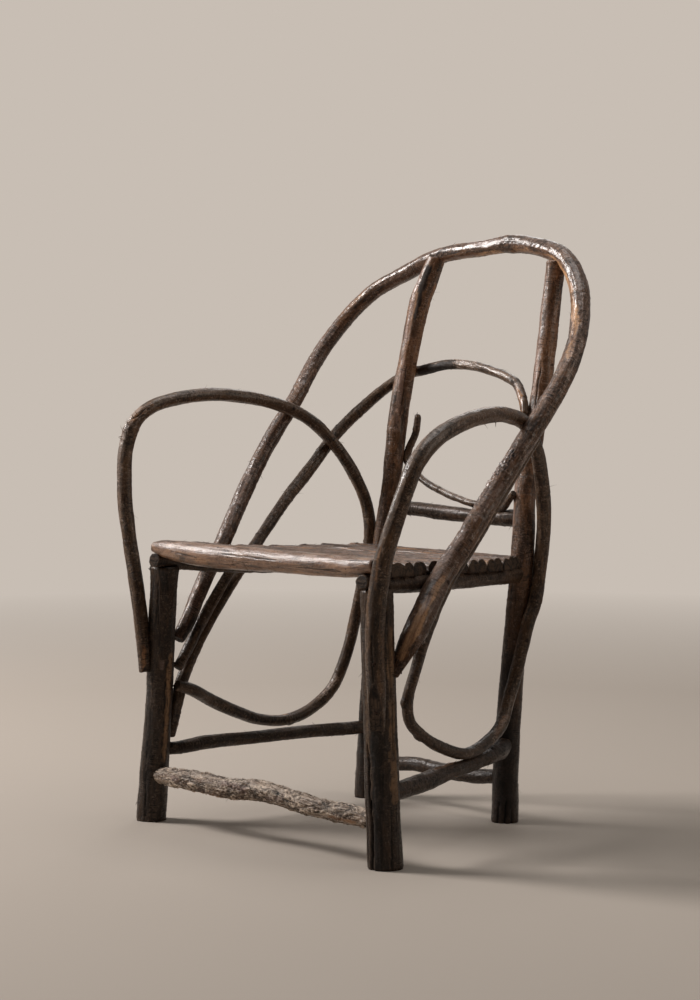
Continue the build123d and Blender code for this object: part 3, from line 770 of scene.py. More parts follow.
def ironMaterial(name, look):
    material = bpy.data.materials.new(name)
    material.use_nodes = True
    tree = material.node_tree
    shader = tree.nodes["Principled BSDF"]
    spot = tree.nodes.new("ShaderNodeTexCoord").outputs["Object"]
    rust = remap(tree, noiseAt(tree, spot, look["rustScale"], 4, 0.6), 0.42, 0.6)
    tree.links.new(blendColours(tree, rust, look["clean"], look["rust"]), shader.inputs["Base Color"])
    tree.links.new(remap(tree, rust, 0, 1, *look["rough"]), shader.inputs["Roughness"])
    tree.links.new(remap(tree, rust, 0, 1, *look["metal"]), shader.inputs["Metallic"])
    tree.links.new(addBump(tree, rust, look["bump"], look["bumpDepth"]), shader.inputs["Normal"])
    return material


iron = ironMaterial("handForgedIron", ironLook)
print("chair: finishes ready")


# front posts

leftFrontPost = {
    "stations": [
        (249, -185, 0, 25.6), (243, -184, 90, 24.8), (237, -182, 190, 24.2), (230, -180, 300, 23.6),
        (225, -178, 389, 23.2)],
    "sides": 96, "step": 2.4, "seed": 1, "flatFoot": True, "oval": 0.05, "lump": 0.8, "ridge": 0.7,
    "crust": 0.35, "rounding": (2.5, 4), "sink": (0.05, 0.12), "fibres": 16, "buds": 400,
    "cracks": [((236, -207, 175), (244, -209, 80), 1.3, 5), ((244, -208, 99), (250, -211, -30), 1.9, 7),
               ((249, -184, 362), (258, -181, 237), 0.8, 2.5), ((258, -181, 237), (264, -181, 154), 0.8, 2.5),
               ((233, -206, 120), (238, -208, -20), 0.9, 3), ((264, -190, 90), (268, -193, -20), 0.8, 2.4)],
    "bares": [((252, -179, 330), (258, -181, 236), 6, 0.5), ((258, -181, 236), (267, -184, 98), 6, 0.55),
              ((228, -203, 300), (236, -207, 160), 3, 0.3)],
    # painted shade down the front of the post
    "stains": [((246, -202, 250), (258, -207, 10), 8, 0.7)]}
place(growStick("leftFrontPost", leftFrontPost), "leg_front_left", "posts", postWood)

rightFrontPost = {
    "stations": [
        (-249, -185, 0, 22.4), (-240, -184, 93, 21.8), (-232, -182, 186, 21),
        (-227, -180, 310, 21.2), (-222.3, -178, 384, 21.4), (-222, -178, 392, 22.6)],
    "sides": 88, "step": 2.4, "seed": 2, "flatFoot": True, "oval": 0.05, "lump": 0.8, "ridge": 0.65,
    "crust": 0.35, "rounding": (2.5, 4), "sink": (0.05, 0.12), "fibres": 16, "buds": 400,
    "cracks": [((-216, -198, 380), (-214, -199, 300), 0.8, 2), ((-236, -203, 110), (-240, -205, 10), 0.7, 1.6),
               ((-213, -185, 262), (-219, -190, 96), 0.8, 2.2)],
    "bares": [((-208, -180, 255), (-211, -182, 188), 4.4), ((-211, -182, 188), (-218, -185, 96), 4)],
    "lights": [((-212, -193, 246), (-213, -193, 238), 3, 0.5)],
    "stains": [((-232, -202, 200), (-238, -205, 20), 6, 0.5)],
    "knots": [((-240, -192, 389), 7, 1.6), ((-203, -190, 388), 6, 1.0)],
    "hairs": [((-262, -198, 30), (-0.7, -0.3, -0.7), 10, 1.6), ((-238, -193, 384), (-0.7, -0.5, 0.8), 9, 1.5),
              ((-206, -190, 386), (0.7, 0.3, 0.6), 5, 0.9), ((-205, -186, 240), (0.8, 0.5, -0.2), 4, 0.7)]}
place(growStick("rightFrontPost", rightFrontPost), "leg_front_right", "posts", postWood)


# rear posts

leftRearPost = {
    "stations": [
        (147, 185, 0, 20), (144, 192, 93, 19), (144, 203, 216, 18), (147, 215, 330, 17.4),
        (147, 226, 430, 17), (140, 238, 505, 16), (142, 254, 580, 15), (145, 268, 656, 14.6),
        (142, 291, 768, 14.4), (140, 308, 854, 14.2)],
    "sides": 76, "step": 2.4, "seed": 3, "flatFoot": True, "bias": -0.6, "rounding": (2.5, 3),
    "sink": (0.05, 0.12), "lump": 0.9, "ridge": 0.28, "crust": 0.3, "fibres": 26, "buds": 120,
    "cracks": [((160, 173, 40), (158, 170, -20), 1.4, 4), ((150, 168, 30), (149, 167, -20), 1.0, 3),
               ((163, 180, 20), (163, 180, -20), 1.2, 3), ((150, 262, 700), (148, 250, 610), 0.7, 1.6)],
    # pale bark brightened into painted highlights down the lit side of the post
    "lights": [((131, 291, 834), (131, 284, 780), 6, 0.5), ((131, 284, 780), (140, 267, 719), 6, 0.5),
               ((140, 267, 719), (143, 254, 658), 5, 0.5), ((130, 228, 520), (133, 214, 440), 5, 0.6)],
    "stains": [((152, 184, 250), (158, 175, 20), 9, 0.6)],
    "knots": [((153, 232, 520), 8, 1.6)]}
place(growStick("leftRearPost", leftRearPost), "post_rear_left", "posts", backWood)

rightRearPost = {
    "stations": [
        (-147, 185, 0, 20), (-152, 198, 128, 18.4), (-151, 212, 280, 17), (-148, 226, 423, 16.2),
        (-145, 238, 492, 15.4), (-147, 250, 556, 16), (-149, 262, 617, 16.2), (-147, 274, 675, 16),
        (-142, 287, 740, 16), (-137, 298, 794, 16.6), (-128, 303, 822, 16.4), (-111, 311, 868, 14.6)],
    "sides": 76, "step": 2.4, "seed": 4, "flatFoot": True, "rounding": (2.5, 4), "sink": (0.05, 0.16),
    "lump": 0.9, "ridge": 0.5, "crust": 0.26, "fibres": 22, "buds": 150,
    "cuts": [((-127, 297, 858), (-0.75, -0.35, 0.62), 26), ((-108, 300, 868), (0.2, -0.6, 0.8), 22)],
    "cracks": [((-135, 264, 690), (-136, 250, 610), 0.8, 1.8)],
    "bares": [((-112, 309, 821), (-130, 300, 742), 5, 0.95), ((-130, 300, 742), (-137, 279, 638), 5.5, 0.9),
              ((-137, 279, 638), (-134, 252, 508), 5, 0.7), ((-130, 285, 813), (-139, 272, 740), 2.6, 0.5)],
    # pale bark brightened into painted highlights down the lit side of the post
    "lights": [((-131, 294, 842), (-138, 282, 797), 6.5, 0.9), ((-138, 282, 797), (-141, 270, 735), 6, 0.75),
               ((-141, 264, 700), (-139, 253, 637), 4.5, 0.45), ((-139, 253, 637), (-136, 244, 589), 4, 0.35)],
    "stains": [((-113, 293, 849), (-124, 286, 813), 5, 1.0), ((-124, 286, 813), (-131, 279, 768), 4.2, 1.0),
               ((-131, 277, 762), (-131, 275, 741), 5.5, 0.6), ((-134, 262, 650), (-134, 246, 560), 3, 0.5)],
    "hairs": [((-106, 304, 860), (0.9, 0.5, -0.2), 16, 0.7), ((-106, 304, 858), (0.9, 0.3, -0.6), 11, 0.5),
              ((-116, 306, 808), (0.7, 0.6, 0.35), 12, 0.5), ((-118, 306, 800), (0.7, 0.6, -0.5), 9, 0.45),
              ((-136, 290, 770), (-0.7, -0.5, -0.2), 7, 0.45)]}
place(growStick("rightRearPost", rightRearPost), "post_rear_right", "posts", backWood)
print("chair: posts grown")


# hoops

mainHoop = {
    "stations": [
        (248, -160, 264, 15), (252, -142, 303, 17.2), (248, -110, 344, 17.6), (230, -52, 394, 16.6),
        (234, -2, 448, 15.6), (235, 48, 503, 15), (238, 98, 560, 15.2), (248, 170, 646, 15.4),
        (250, 198, 682, 15), (235, 248, 745, 14.6), (203, 287, 812, 15.4), (149, 312, 862, 14.8),
        (81, 318, 881, 14), (32, 319, 884, 14.2), (-15, 318, 879, 12.8), (-107, 315, 868, 13),
        (-181, 304, 839, 13.4), (-231, 288, 812, 12.8), (-265, 254, 765, 12.6),
        (-279, 202, 700, 12.7), (-271, 146, 636, 12.8), (-271, 90, 573, 13), (-262, 28, 498, 13),
        (-244, -36, 422, 12.6), (-237, -78, 372, 12.2), (-228, -110, 333, 12),
        (-221, -140, 294, 11.2), (-220, -154, 278, 10)],
    "sides": 72, "step": 2.1, "seed": 5, "rounding": (3, 3), "lump": 0.9, "ridge": 0.4, "crust": 0.42,
    "oval": 0.07, "fibres": 60, "buds": 105,
    "cuts": [((264, -158, 284), (0.608, 0.542, -0.583), 45), ((-218, -166, 282), (-0.2, -0.75, -0.63), 22)],
    "knots": [((37, 315, 896), 8, 2.2), ((45, 312, 868), 9, 2.0), ((26, 306, 880), 6, 1.2),
              ((241, -140, 318), 6, 1.2), ((240, 60, 515), 7, 1.0), ((-243, -20, 440), 7, 1.2),
              ((150, 300, 876), 5, 1.0)],
    "bares": [((56, 307, 873), (120, 302, 858), 7, 0.75), ((120, 302, 858), (190, 271, 813), 8.5, 1.0),
              ((190, 271, 813), (234, 238, 766), 8, 1.0), ((234, 238, 766), (253, 200, 714), 5, 0.85),
              ((-100, 308, 861), (22, 312, 872), 6, 0.85), ((250, -96, 370), (260, -157, 305), 8, 0.6),
              ((-243, 268, 805), (-268, 246, 770), 3, 0.5), ((247, 90, 532), (245, 33, 470), 5, 0.5),
              ((245, 33, 470), (242, -27, 403), 5, 0.45), ((240, -60, 395), (250, -96, 370), 5, 0.5)],
    # painted highlights along the top of the hoop and on its upper faces
    "lights": [((-40, 306, 885), (32, 306, 890), 5, 0.85), ((252, 145, 605), (246, 96, 556), 3.2, 0.5),
               ((245, 60, 524), (240, 10, 475), 3.4, 0.55), ((238, -8, 460), (232, -44, 418), 3.2, 0.5),
               ((-262, 40, 528), (-246, -16, 462), 2.8, 0.4), ((-276, 214, 742), (-268, 150, 662), 2.6, 0.4)],
    # the last dark patch is a painted shadow of the front leg on the hoop's lower end
    "stains": [((-98, 310, 878), (-100, 303, 862), 1.6, 0.9), ((150, 318, 845), (215, 290, 805), 3.5, 0.4),
               ((-205, 304, 826), (-190, 306, 834), 4, 0.5), ((-221, -132, 300), (-220, -156, 276), 20, 0.85)],
    "roughs": [((241, 86, 568), (229, 55, 530), 8, 1.9), ((232, 67, 546), (224, 13, 481), 9, 1.1),
               ((224, 13, 481), (224, -46, 421), 9, 0.9), ((-276, 200, 712), (-276, 120, 622), 8, 0.7),
               ((-262, 20, 510), (-246, -40, 436), 7, 0.6), ((-120, 318, 880), (-60, 318, 886), 6, 0.4)]}
place(growStick("mainHoop", mainHoop), "main_hoop", "main_hoop", hoopWood)

innerHoop = {
    "stations": [
        (-236, -157, 128, 8), (-223, -155, 176, 9.4), (-224, -142, 214, 9.8), (-226, -117, 255, 9.8),
        (-228, -76, 308, 9.8), (-230, -25, 365, 9.8), (-232, 28, 419, 9.6), (-234, 88, 478, 9.8),
        (-232, 137, 523, 10), (-226, 197, 583, 9.7), (-205, 238, 625, 9.4), (-183, 273, 658, 9.2),
        (-160, 296, 678, 9), (-125, 298, 685, 8.6), (-78, 293, 693, 8.2), (-28, 288, 694, 7.9),
        (23, 283, 687, 7.7), (71, 274, 676, 7.5), (100, 264, 665, 7.4), (126, 249, 639, 7.2),
        (135, 242, 620, 6.8)],
    "sides": 52, "step": 2.1, "seed": 6, "lump": 0.6, "ridge": 0.35, "crust": 0.34, "fibres": 34, "buds": 48,
    "knots": [((-231, 10, 410), 6, 1.2), ((98, 262, 676), 6, 2.2), ((-52, 284, 694), 5, 1.6)],
    "cuts": [((-219, -160, 130), (0.3, -0.6, -0.7), 20)],
    "bares": [((100, 258, 668), (122, 248, 648), 4, 0.9), ((122, 248, 648), (133, 240, 622), 4, 0.85)],
    "lights": [((-44, 284, 699), (-6, 281, 697), 10, 1.0), ((9, 280, 693), (82, 268, 677), 3.4, 0.45)],
    "roughs": [((-48, 283, 697), (-2, 280, 694), 10, 1.2), ((-232, 60, 462), (-234, 130, 528), 7, 0.6)],
    "stains": [((-122, 293, 683), (-58, 286, 692), 13, 1.0), ((94, 262, 670), (99, 260, 667), 3, 0.8)]}
place(growStick("innerHoop", innerHoop), "inner_hoop", "saplings", saplingWood)


# arms

leftArm = {
    "stations": [
        (254, -205, 195, 10), (253, -207, 253, 13.4), (252, -210, 320, 13.8), (254, -208, 372, 13.8),
        (262, -203, 434, 13.6), (269, -193, 473, 13.2), (275, -179, 517, 12.8),
        (279, -154, 567, 12.4), (277, -115, 597, 12.5), (270, -57, 617, 12.4), (250, 31, 628, 12),
        (233, 97, 624, 11.6), (216, 150, 609, 11.3), (205, 188, 569, 11), (189.5, 219.5, 516, 11),
        (178.5, 236.5, 453, 11), (173.5, 235.5, 400, 10.8), (175, 222, 339, 10.5), (173, 208, 307, 10.4),
        (169, 187, 236, 10), (172, 164, 191, 9.6), (182, 137, 159, 9.4), (197, 84, 138.5, 9.2),
        (209, 26, 131, 8.7), (216, -31, 147, 8.6), (221, -76, 169, 8.5), (226, -111, 196, 8.4),
        (229, -118, 228, 8.3), (232, -110, 258, 8.2), (233, -88, 310, 8.2), (226, -36, 380, 8),
        (228, 14, 434, 7.8), (229, 64, 489, 7.5), (232, 114, 546, 7.2), (237, 150, 588, 6.6)],
    "sides": 58, "step": 2.1, "seed": 7, "lump": 0.7, "ridge": 0.3, "crust": 0.24, "fibres": 34, "buds": 130,
    "cuts": [((254.5, -206, 194), (0.44, -0.87, -0.203), 70)],
    "knots": [((226, -125, 224), 6, 3.2), ((218, -88, 166), 7, 2.6), ((230, -66, 338), 5, 1.5),
              ((222, 140, 610), 5, 1.2)],
    "cracks": [((258, -222, 330), (259, -220, 250), 0.8, 2)],
    # painted highlight down the front of the arm below its top bend; pale torn bark low at the back
    "lights": [((187, 143, 172), (197, 106, 150), 4, 0.7), ((272, -127, 602), (281, -165, 572), 3.6, 0.55),
               ((279, -180, 544), (277, -194, 510), 3, 0.5)],
    "bares": [((258, -20, 634), (249, 54, 631), 2.6, 0.4), ((265, -217, 450), (262, -219, 395), 2, 0.35),
              ((184, 140, 170), (199, 106, 147), 4, 0.5)],
    "roughs": [((184, 138, 172), (202, 96, 142), 6, 0.9), ((272, -130, 604), (278, -172, 560), 6, 0.4)],
    "stains": [((262, -219, 400), (258, -221, 250), 7, 0.65)],
    "hairs": [((192, 226, 512), (0.9, 0.5, 0.1), 12, 0.5), ((245, 50, 618), (0.3, -0.6, -0.8), 8, 1.3)]}
place(growStick("leftArm", leftArm), "arm_left", "saplings", saplingWood)

rightArm = {
    "stations": [
        (-236, -207, 231, 8.2), (-240, -207, 278, 10.6), (-250, -206, 334, 11.2),
        (-264, -204, 391, 11.4), (-280, -202, 452, 11.4), (-293, -197, 513, 11.3),
        (-299, -188, 569, 11.2), (-299, -168, 610, 11), (-296, -138, 631, 10.8),
        (-290, -96, 642, 10.6), (-281, -30, 648, 10.4), (-270, 45, 642, 10.3),
        (-255, 110, 625, 10.2), (-235, 149, 602, 10.1), (-210, 176, 564, 10), (-196, 203, 520, 10),
        (-182, 217, 475, 9.9), (-173, 219, 427, 9.8), (-174, 211, 375, 9.8), (-182, 198, 298, 9.7),
        (-190, 183, 230, 9.6), (-200, 161, 175, 9.5), (-207, 127, 147, 9.4), (-213, 77, 131, 9.3),
        (-218, 21, 135, 9.2), (-221, -41, 157, 10), (-217, -97, 182, 10), (-206, -135, 199, 9.4),
        (-208, -167, 210, 8.4)],
    "sides": 58, "step": 2.1, "seed": 8, "lump": 0.6, "ridge": 0.3, "crust": 0.24, "fibres": 30, "buds": 120,
    "cuts": [((-231, -212, 240), (0.9, -0.3, -0.3), 26)],
    "knots": [((-302, -184, 598), 8, 1.6), ((-212, 76, 122), 5, 1.8)],
    "bares": [((-230, -213, 268), (-230, -212, 228), 4, 0.6), ((-219, 167, 592), (-205, 181, 571), 3, 0.6),
              ((-298, -178, 606), (-290, -147, 634), 4, 0.5), ((-214, 70, 139), (-222, 0, 147), 3, 0.4)],
    # painted highlights down the arm's left face and along its top; the other two are pale torn bark at the
    # top bend and low at the back
    "lights": [((-303, -196, 585), (-298, -160, 622), 5, 0.8),
               ((-294, -207, 521), (-300, -202, 575), 3.4, 0.45),
               ((-284, -207, 460), (-293, -207, 520), 3, 0.3), ((-290, -146, 640), (-272, -17, 655), 3, 0.3),
               ((-190, 160, 190), (-200, 140, 165), 4, 0.7)],
    "roughs": [((-304, -192, 582), (-290, -150, 634), 6, 1.0), ((-300, -204, 565), (-290, -208, 500), 4, 0.5),
               ((-192, 158, 188), (-202, 132, 160), 5, 0.9)],
    "cracks": [((-306, -186, 590), (-292, -158, 626), 1.0, 2)],
    "hairs": [((-300, -199, 584), (-0.4, -0.8, 0.5), 10, 1.4, 0.9),
              ((-302, -194, 588), (-0.6, -0.6, -0.1), 8, 1.2, 0.8),
              ((-300, -192, 592), (-0.2, -0.7, 0.9), 14, 1.3, 1.0),
              ((-300, -188, 598), (-0.5, -0.7, 0.2), 8, 1.1, 0.9),
              ((-298, -184, 602), (0.1, -0.5, 1.0), 13, 1.2, 1.0),
              ((-299, -180, 606), (-0.3, -0.8, 0.5), 9, 1.2, 0.8),
              ((-297, -174, 612), (0.0, -0.5, 1.0), 10, 1.1, 0.9),
              ((-296, -166, 618), (-0.1, -0.8, 0.6), 9, 1.0, 0.8),
              ((-297, -196, 580), (0.3, -0.6, 0.9), 16, 1.0, 1.0),
              ((-294, -190, 590), (0.5, -0.4, 0.9), 14, 0.9, 0.9),
              ((-240, -200, 378), (-0.8, -0.5, 0.2), 5, 0.8)]}
place(growStick("rightArm", rightArm), "arm_right", "saplings", saplingWood)

rightBrace = {
    "stations": [
        (-219, -156, 234, 7.6), (-219.5, -137.5, 257, 8.6), (-223, -110, 291, 8.8),
        (-224, -80.5, 327, 8.6), (-221, -56, 361, 8.2), (-215.5, -42, 384, 7.6)],
    "sides": 44, "step": 2, "seed": 9, "lump": 0.5, "ridge": 0.3, "crust": 0.3, "fibres": 8, "buds": 60}
place(growStick("rightBrace", rightBrace), "brace_right", "saplings", saplingWood)

backTwig = {
    "stations": [
        (-117, 272, 614, 5.2), (-120, 269, 582, 5.8), (-130, 264, 557, 6.2), (-130, 259, 541, 6.1),
        (-114, 257, 525, 6), (-83, 250, 509, 5.9), (-41, 244, 495, 5.9), (-5, 240, 486, 5.8),
        (31, 238, 479, 5.8), (70, 236, 477, 5.7), (104, 228, 476, 5.6), (122, 221, 490, 5.5),
        (135, 217, 501, 5.2)],
    "sides": 40, "step": 1.8, "seed": 10, "lump": 0.5, "ridge": 0.3, "crust": 0.3, "fibres": 18, "buds": 36,
    "rounding": (5, 2.5), "sink": (0.5, 0.12),
    "hairs": [((-117, 270, 610), (0.1, 0, 1), 7, 2.2), ((-119, 271, 608), (-0.5, 0.2, 0.9), 5, 1.4),
              ((-115, 270, 606), (0.5, 0, 0.9), 4, 1.2)],
    "lights": [((-40, 240, 498), (30, 234, 484), 2.4, 0.45)]}
place(growStick("backTwig", backTwig), "back_twig", "saplings", saplingWood)
print("chair: bent saplings grown")


# rails and stretchers

leftRail = {
    "stations": [
        (229, -212, 401, 11.5), (225, -178, 398, 12.5), (219, -150, 394, 13), (190, 10, 385, 13.3),
        (163, 150, 379, 12.5), (147, 222, 377, 12)],
    "sides": 60, "step": 2.2, "seed": 11, "lump": 0.8, "ridge": 0.5, "crust": 0.4, "fibres": 26, "buds": 90,
    "cuts": [((229, -213, 392), (0.3, 0, -0.95), 26), ((239, -212, 404), (0.95, -0.1, 0.3), 24),
             ((221, -212, 408), (-0.75, -0.1, 0.66), 24)],
    "bares": [((222, -60, 378), (215, 0, 376), 2.4, 0.35)]}
place(growStick("leftRail", leftRail), "rail_left", "rails", railWood)

rightRail = {
    "stations": [
        (-212, -208, 403.5, 11.6), (-216, -178, 401, 12), (-214, -140, 396, 12.5),
        (-194, -30, 386, 12.8), (-163, 150, 379, 12.3), (-148, 223, 377, 12)],
    "sides": 60, "step": 2.2, "seed": 12, "lump": 0.8, "ridge": 0.5, "crust": 0.4, "fibres": 18, "buds": 90,
    "cuts": [((-221.5, -208, 403.5), (-1, -0.1, 0.12), 26), ((-212, -208, 413.5), (-0.1, 0, 1), 26),
             ((-203.5, -208, 400), (0.9, 0, -0.4), 24), ((-212, -208, 393.5), (0, 0, -1), 24)]}
place(growStick("rightRail", rightRail), "rail_right", "rails", railWood)

frontStretcher = {
    "stations": [
        (-241, -184, 74, 12.6), (-222, -188, 73, 14), (-175, -193, 74, 15.6), (-122, -195, 75, 16),
        (-62, -192, 73, 16.2), (-4, -188, 77, 15.6), (111, -187, 68, 15.4), (202, -185, 66, 15),
        (244, -184, 65, 14.4)],
    "sides": 96, "step": 1.8, "seed": 13, "lump": 1.0, "ridge": 0.6, "scab": 2.1, "crust": 0.6, "oval": 0.06,
    "fibres": 60, "buds": 300,
    "cuts": [((-232, -192, 80), (-0.75, -0.35, 0.55), 16)],
    "lights": [((-173, -203, 76), (-160, -203, 74), 5, 0.85), ((-114, -205, 66), (-96, -204, 66), 4.5, 0.7),
               ((-63, -202, 81), (-21, -201, 78), 5, 0.8), ((30, -199, 72), (60, -198, 76), 3.4, 0.5)],
    "bares": [((-150, -198, 61), (-60, -198, 60), 4, 0.6), ((150, -196, 62), (200, -196, 60), 3, 0.5)],
    "stains": [((122, -198, 74), (172, -198, 68), 4, 0.5), ((-6, -198, 70), (14, -198, 70), 3, 0.6)]}
place(growStick("frontStretcher", frontStretcher), "stretcher_front", "flaky_bark", flakyBark)

rightStretcher = {
    "stations": [
        (-242, -182, 109, 9.5), (-232, -154, 109, 9.5), (-222, -130, 111, 11), (-215, -104, 114, 11),
        (-195, -10, 114, 10), (-175, 71, 115, 10.4), (-154, 166, 113, 10.4), (-151, 197, 113, 10)],
    "sides": 56, "step": 2.2, "seed": 14, "lump": 0.8, "ridge": 0.4, "crust": 0.3, "fibres": 16, "buds": 110,
    "cuts": [((-222, -150, 118), (0.5, -0.5, 0.7), 26), ((-226, -160, 100), (0.4, -0.6, -0.65), 22)]}
place(growStick("rightStretcher", rightStretcher), "stretcher_right", "rails", railWood)

leftStretcher = {
    "stations": [
        (245, -184, 103, 13), (242, -150, 104, 13.2), (228, -77, 107, 14.2), (218, -30, 110, 12.4),
        (204, 40, 112, 11), (184, 124, 117, 12), (167, 153, 117, 13.6), (141, 191, 119, 11)],
    "sides": 60, "step": 2.2, "seed": 15, "lump": 1.3, "ridge": 0.6, "crust": 0.36, "fibres": 18, "buds": 80,
    "knots": [((176, 140, 130), 9, 2.2), ((186, 112, 126), 9, 3.0), ((222, -50, 118), 7, 1.6)],
    "stains": [((186, 120, 124), (164, 170, 118), 16, 0.6)],
    "bares": [((228, -60, 120), (212, 0, 122), 2.6, 0.4)],
    "lights": [((190, 110, 128), (176, 150, 132), 2.6, 0.5)]}
place(growStick("leftStretcher", leftStretcher), "stretcher_left", "rails", railWood)

rearStretcher = {
    "stations": [
        (-150, 190, 59, 10.6), (-120, 188, 60, 11.2), (-81, 188, 61, 11.6), (-46, 188, 65, 11.4),
        (-5, 188, 63, 11.4), (75, 188, 61, 11.4), (122, 189, 66, 11.2), (144, 190, 68, 10.6)],
    "sides": 52, "step": 2.2, "seed": 16, "lump": 0.9, "ridge": 0.45, "crust": 0.32, "fibres": 14, "buds": 90}
place(growStick("rearStretcher", rearStretcher), "stretcher_rear", "rails", railWood)

backRail = {
    "stations": [
        (-146, 237, 465, 11), (-96, 236, 465, 11.4), (-15, 237, 461, 11.8), (88, 237, 458, 11.4),
        (112, 237, 460, 13.8), (141, 238, 460, 12)],
    "sides": 56, "step": 2.2, "seed": 17, "lump": 0.7, "ridge": 0.45, "crust": 0.34, "fibres": 26, "buds": 70,
    "knots": [((112, 224, 462), 8, 1.6)],
    "lights": [((-90, 226, 470), (60, 227, 467), 2.6, 0.35)]}
place(growStick("backRail", backRail), "back_rail", "rails", railWood)
print("chair: rails and stretchers grown")


# seat

frontPole = {
    "stations": [
        (-224, -196, 421.5, 8.6), (-200, -196.5, 421, 13), (-165, -197, 419, 16),
        (-110, -197, 417, 17.4), (-40, -197, 417, 17.8), (56, -197, 418, 16.4),
        (150, -197, 419, 15.8), (205, -197, 420, 14.6), (243, -198, 425, 11)],
    "sides": 88, "step": 2.1, "seed": 18, "lump": 0.7, "ridge": 0.25, "crust": 0.16, "oval": 0.05,
    "rounding": (1.5, 3), "sink": (0.06, 0.2), "fibres": 14, "buds": 500,
    "cuts": [((-221, -205, 424), (-0.5, -0.85, 0.1), 14), ((-216, -197, 413.5), (-0.3, 0, -0.95), 20)],
    "cracks": [((-60, -214, 423), (60, -213, 421), 0.7, 1.2), ((100, -213, 414), (190, -211, 413), 0.6, 1.2),
               ((-170, -211, 420), (-110, -214, 414), 0.6, 1.2)],
    # painted highlight: a pale band along the top of the pole
    "lights": [((-196, -206, 427), (-60, -211, 428), 6, 0.4), ((-60, -211, 428), (210, -209, 428), 5, 0.35)],
    "bares": [((-108, -210, 412), (40, -206, 404), 4, 0.55), ((60, -206, 405), (215, -202, 409), 4, 0.6),
              ((-180, -208, 428), (-120, -211, 424), 4, 0.35)]}
place(growStick("frontPole", frontPole), "slat_front", "front_pole", poleWood)

seatSlats = {
    "firstY": -197, "bed": 1.6, "corner": 0.28, "across": 52, "step": 2.6, "fibres": 22,
    "hewn": [(-1.6, 1.6), (0.4, 2.4), (0.62, 0.85)],   # an end's lean, tilt in mm and height of its shoulder
    "insets": (0.7, 0.35), "endShade": 0.3, "bottomShade": 0.5, "cornerShade": 0.75, "peel": 0.7,
    # distance behind the front pole, width, height, overhang right, overhang left
    "rows": [(44, 40, 21, 12, 24), (77, 24, 22, 15, 21), (102, 24, 21, 9, 19), (127, 24, 20, 17, 7),
             (155, 30, 21, 12, 12), (187, 32, 20, 20, 15), (219, 30, 21, 14, 18), (248, 26, 20, 19, 22),
             (273, 22, 21, 11, 20), (297, 24, 20, 15, 23), (321, 22, 21, 21, 19), (345, 24, 20, 12, 21),
             (371, 24, 21, 16, 14), (394, 18, 20, 6, 9)]}


def axisAt(stations, y):
    line = stickLine(stations, 8)
    for a, b in zip(line, line[1:]):
        if a.y <= y <= b.y:
            return a.lerp(b, (y - a.y) / (b.y - a.y))


def crownRelief(x, u, v, turn, seed):
    # ridges of the split sapling's round side, and how far a strip of it has peeled
    ridge = 0.7 * noise.noise(Vector((x * 0.022, u * 0.26 + seed, v * 0.26)))
    ridge += 0.4 * noise.noise(Vector((x * 0.11, u * 0.5, v * 0.5 + seed)))
    ridge += 0.3 * noise.noise(Vector((x * 0.3, u * 0.7 + seed, v * 0.7)))
    strip = noise.noise(Vector((x * 0.009, u * 0.16 + seed, 7)))
    peeled = min(max((strip - 0.12) * 9, 0), 1)
    out = Vector((0, cos(turn), sin(turn)))
    return out * (ridge - 0.5 - seatSlats["peel"] * peeled), peeled


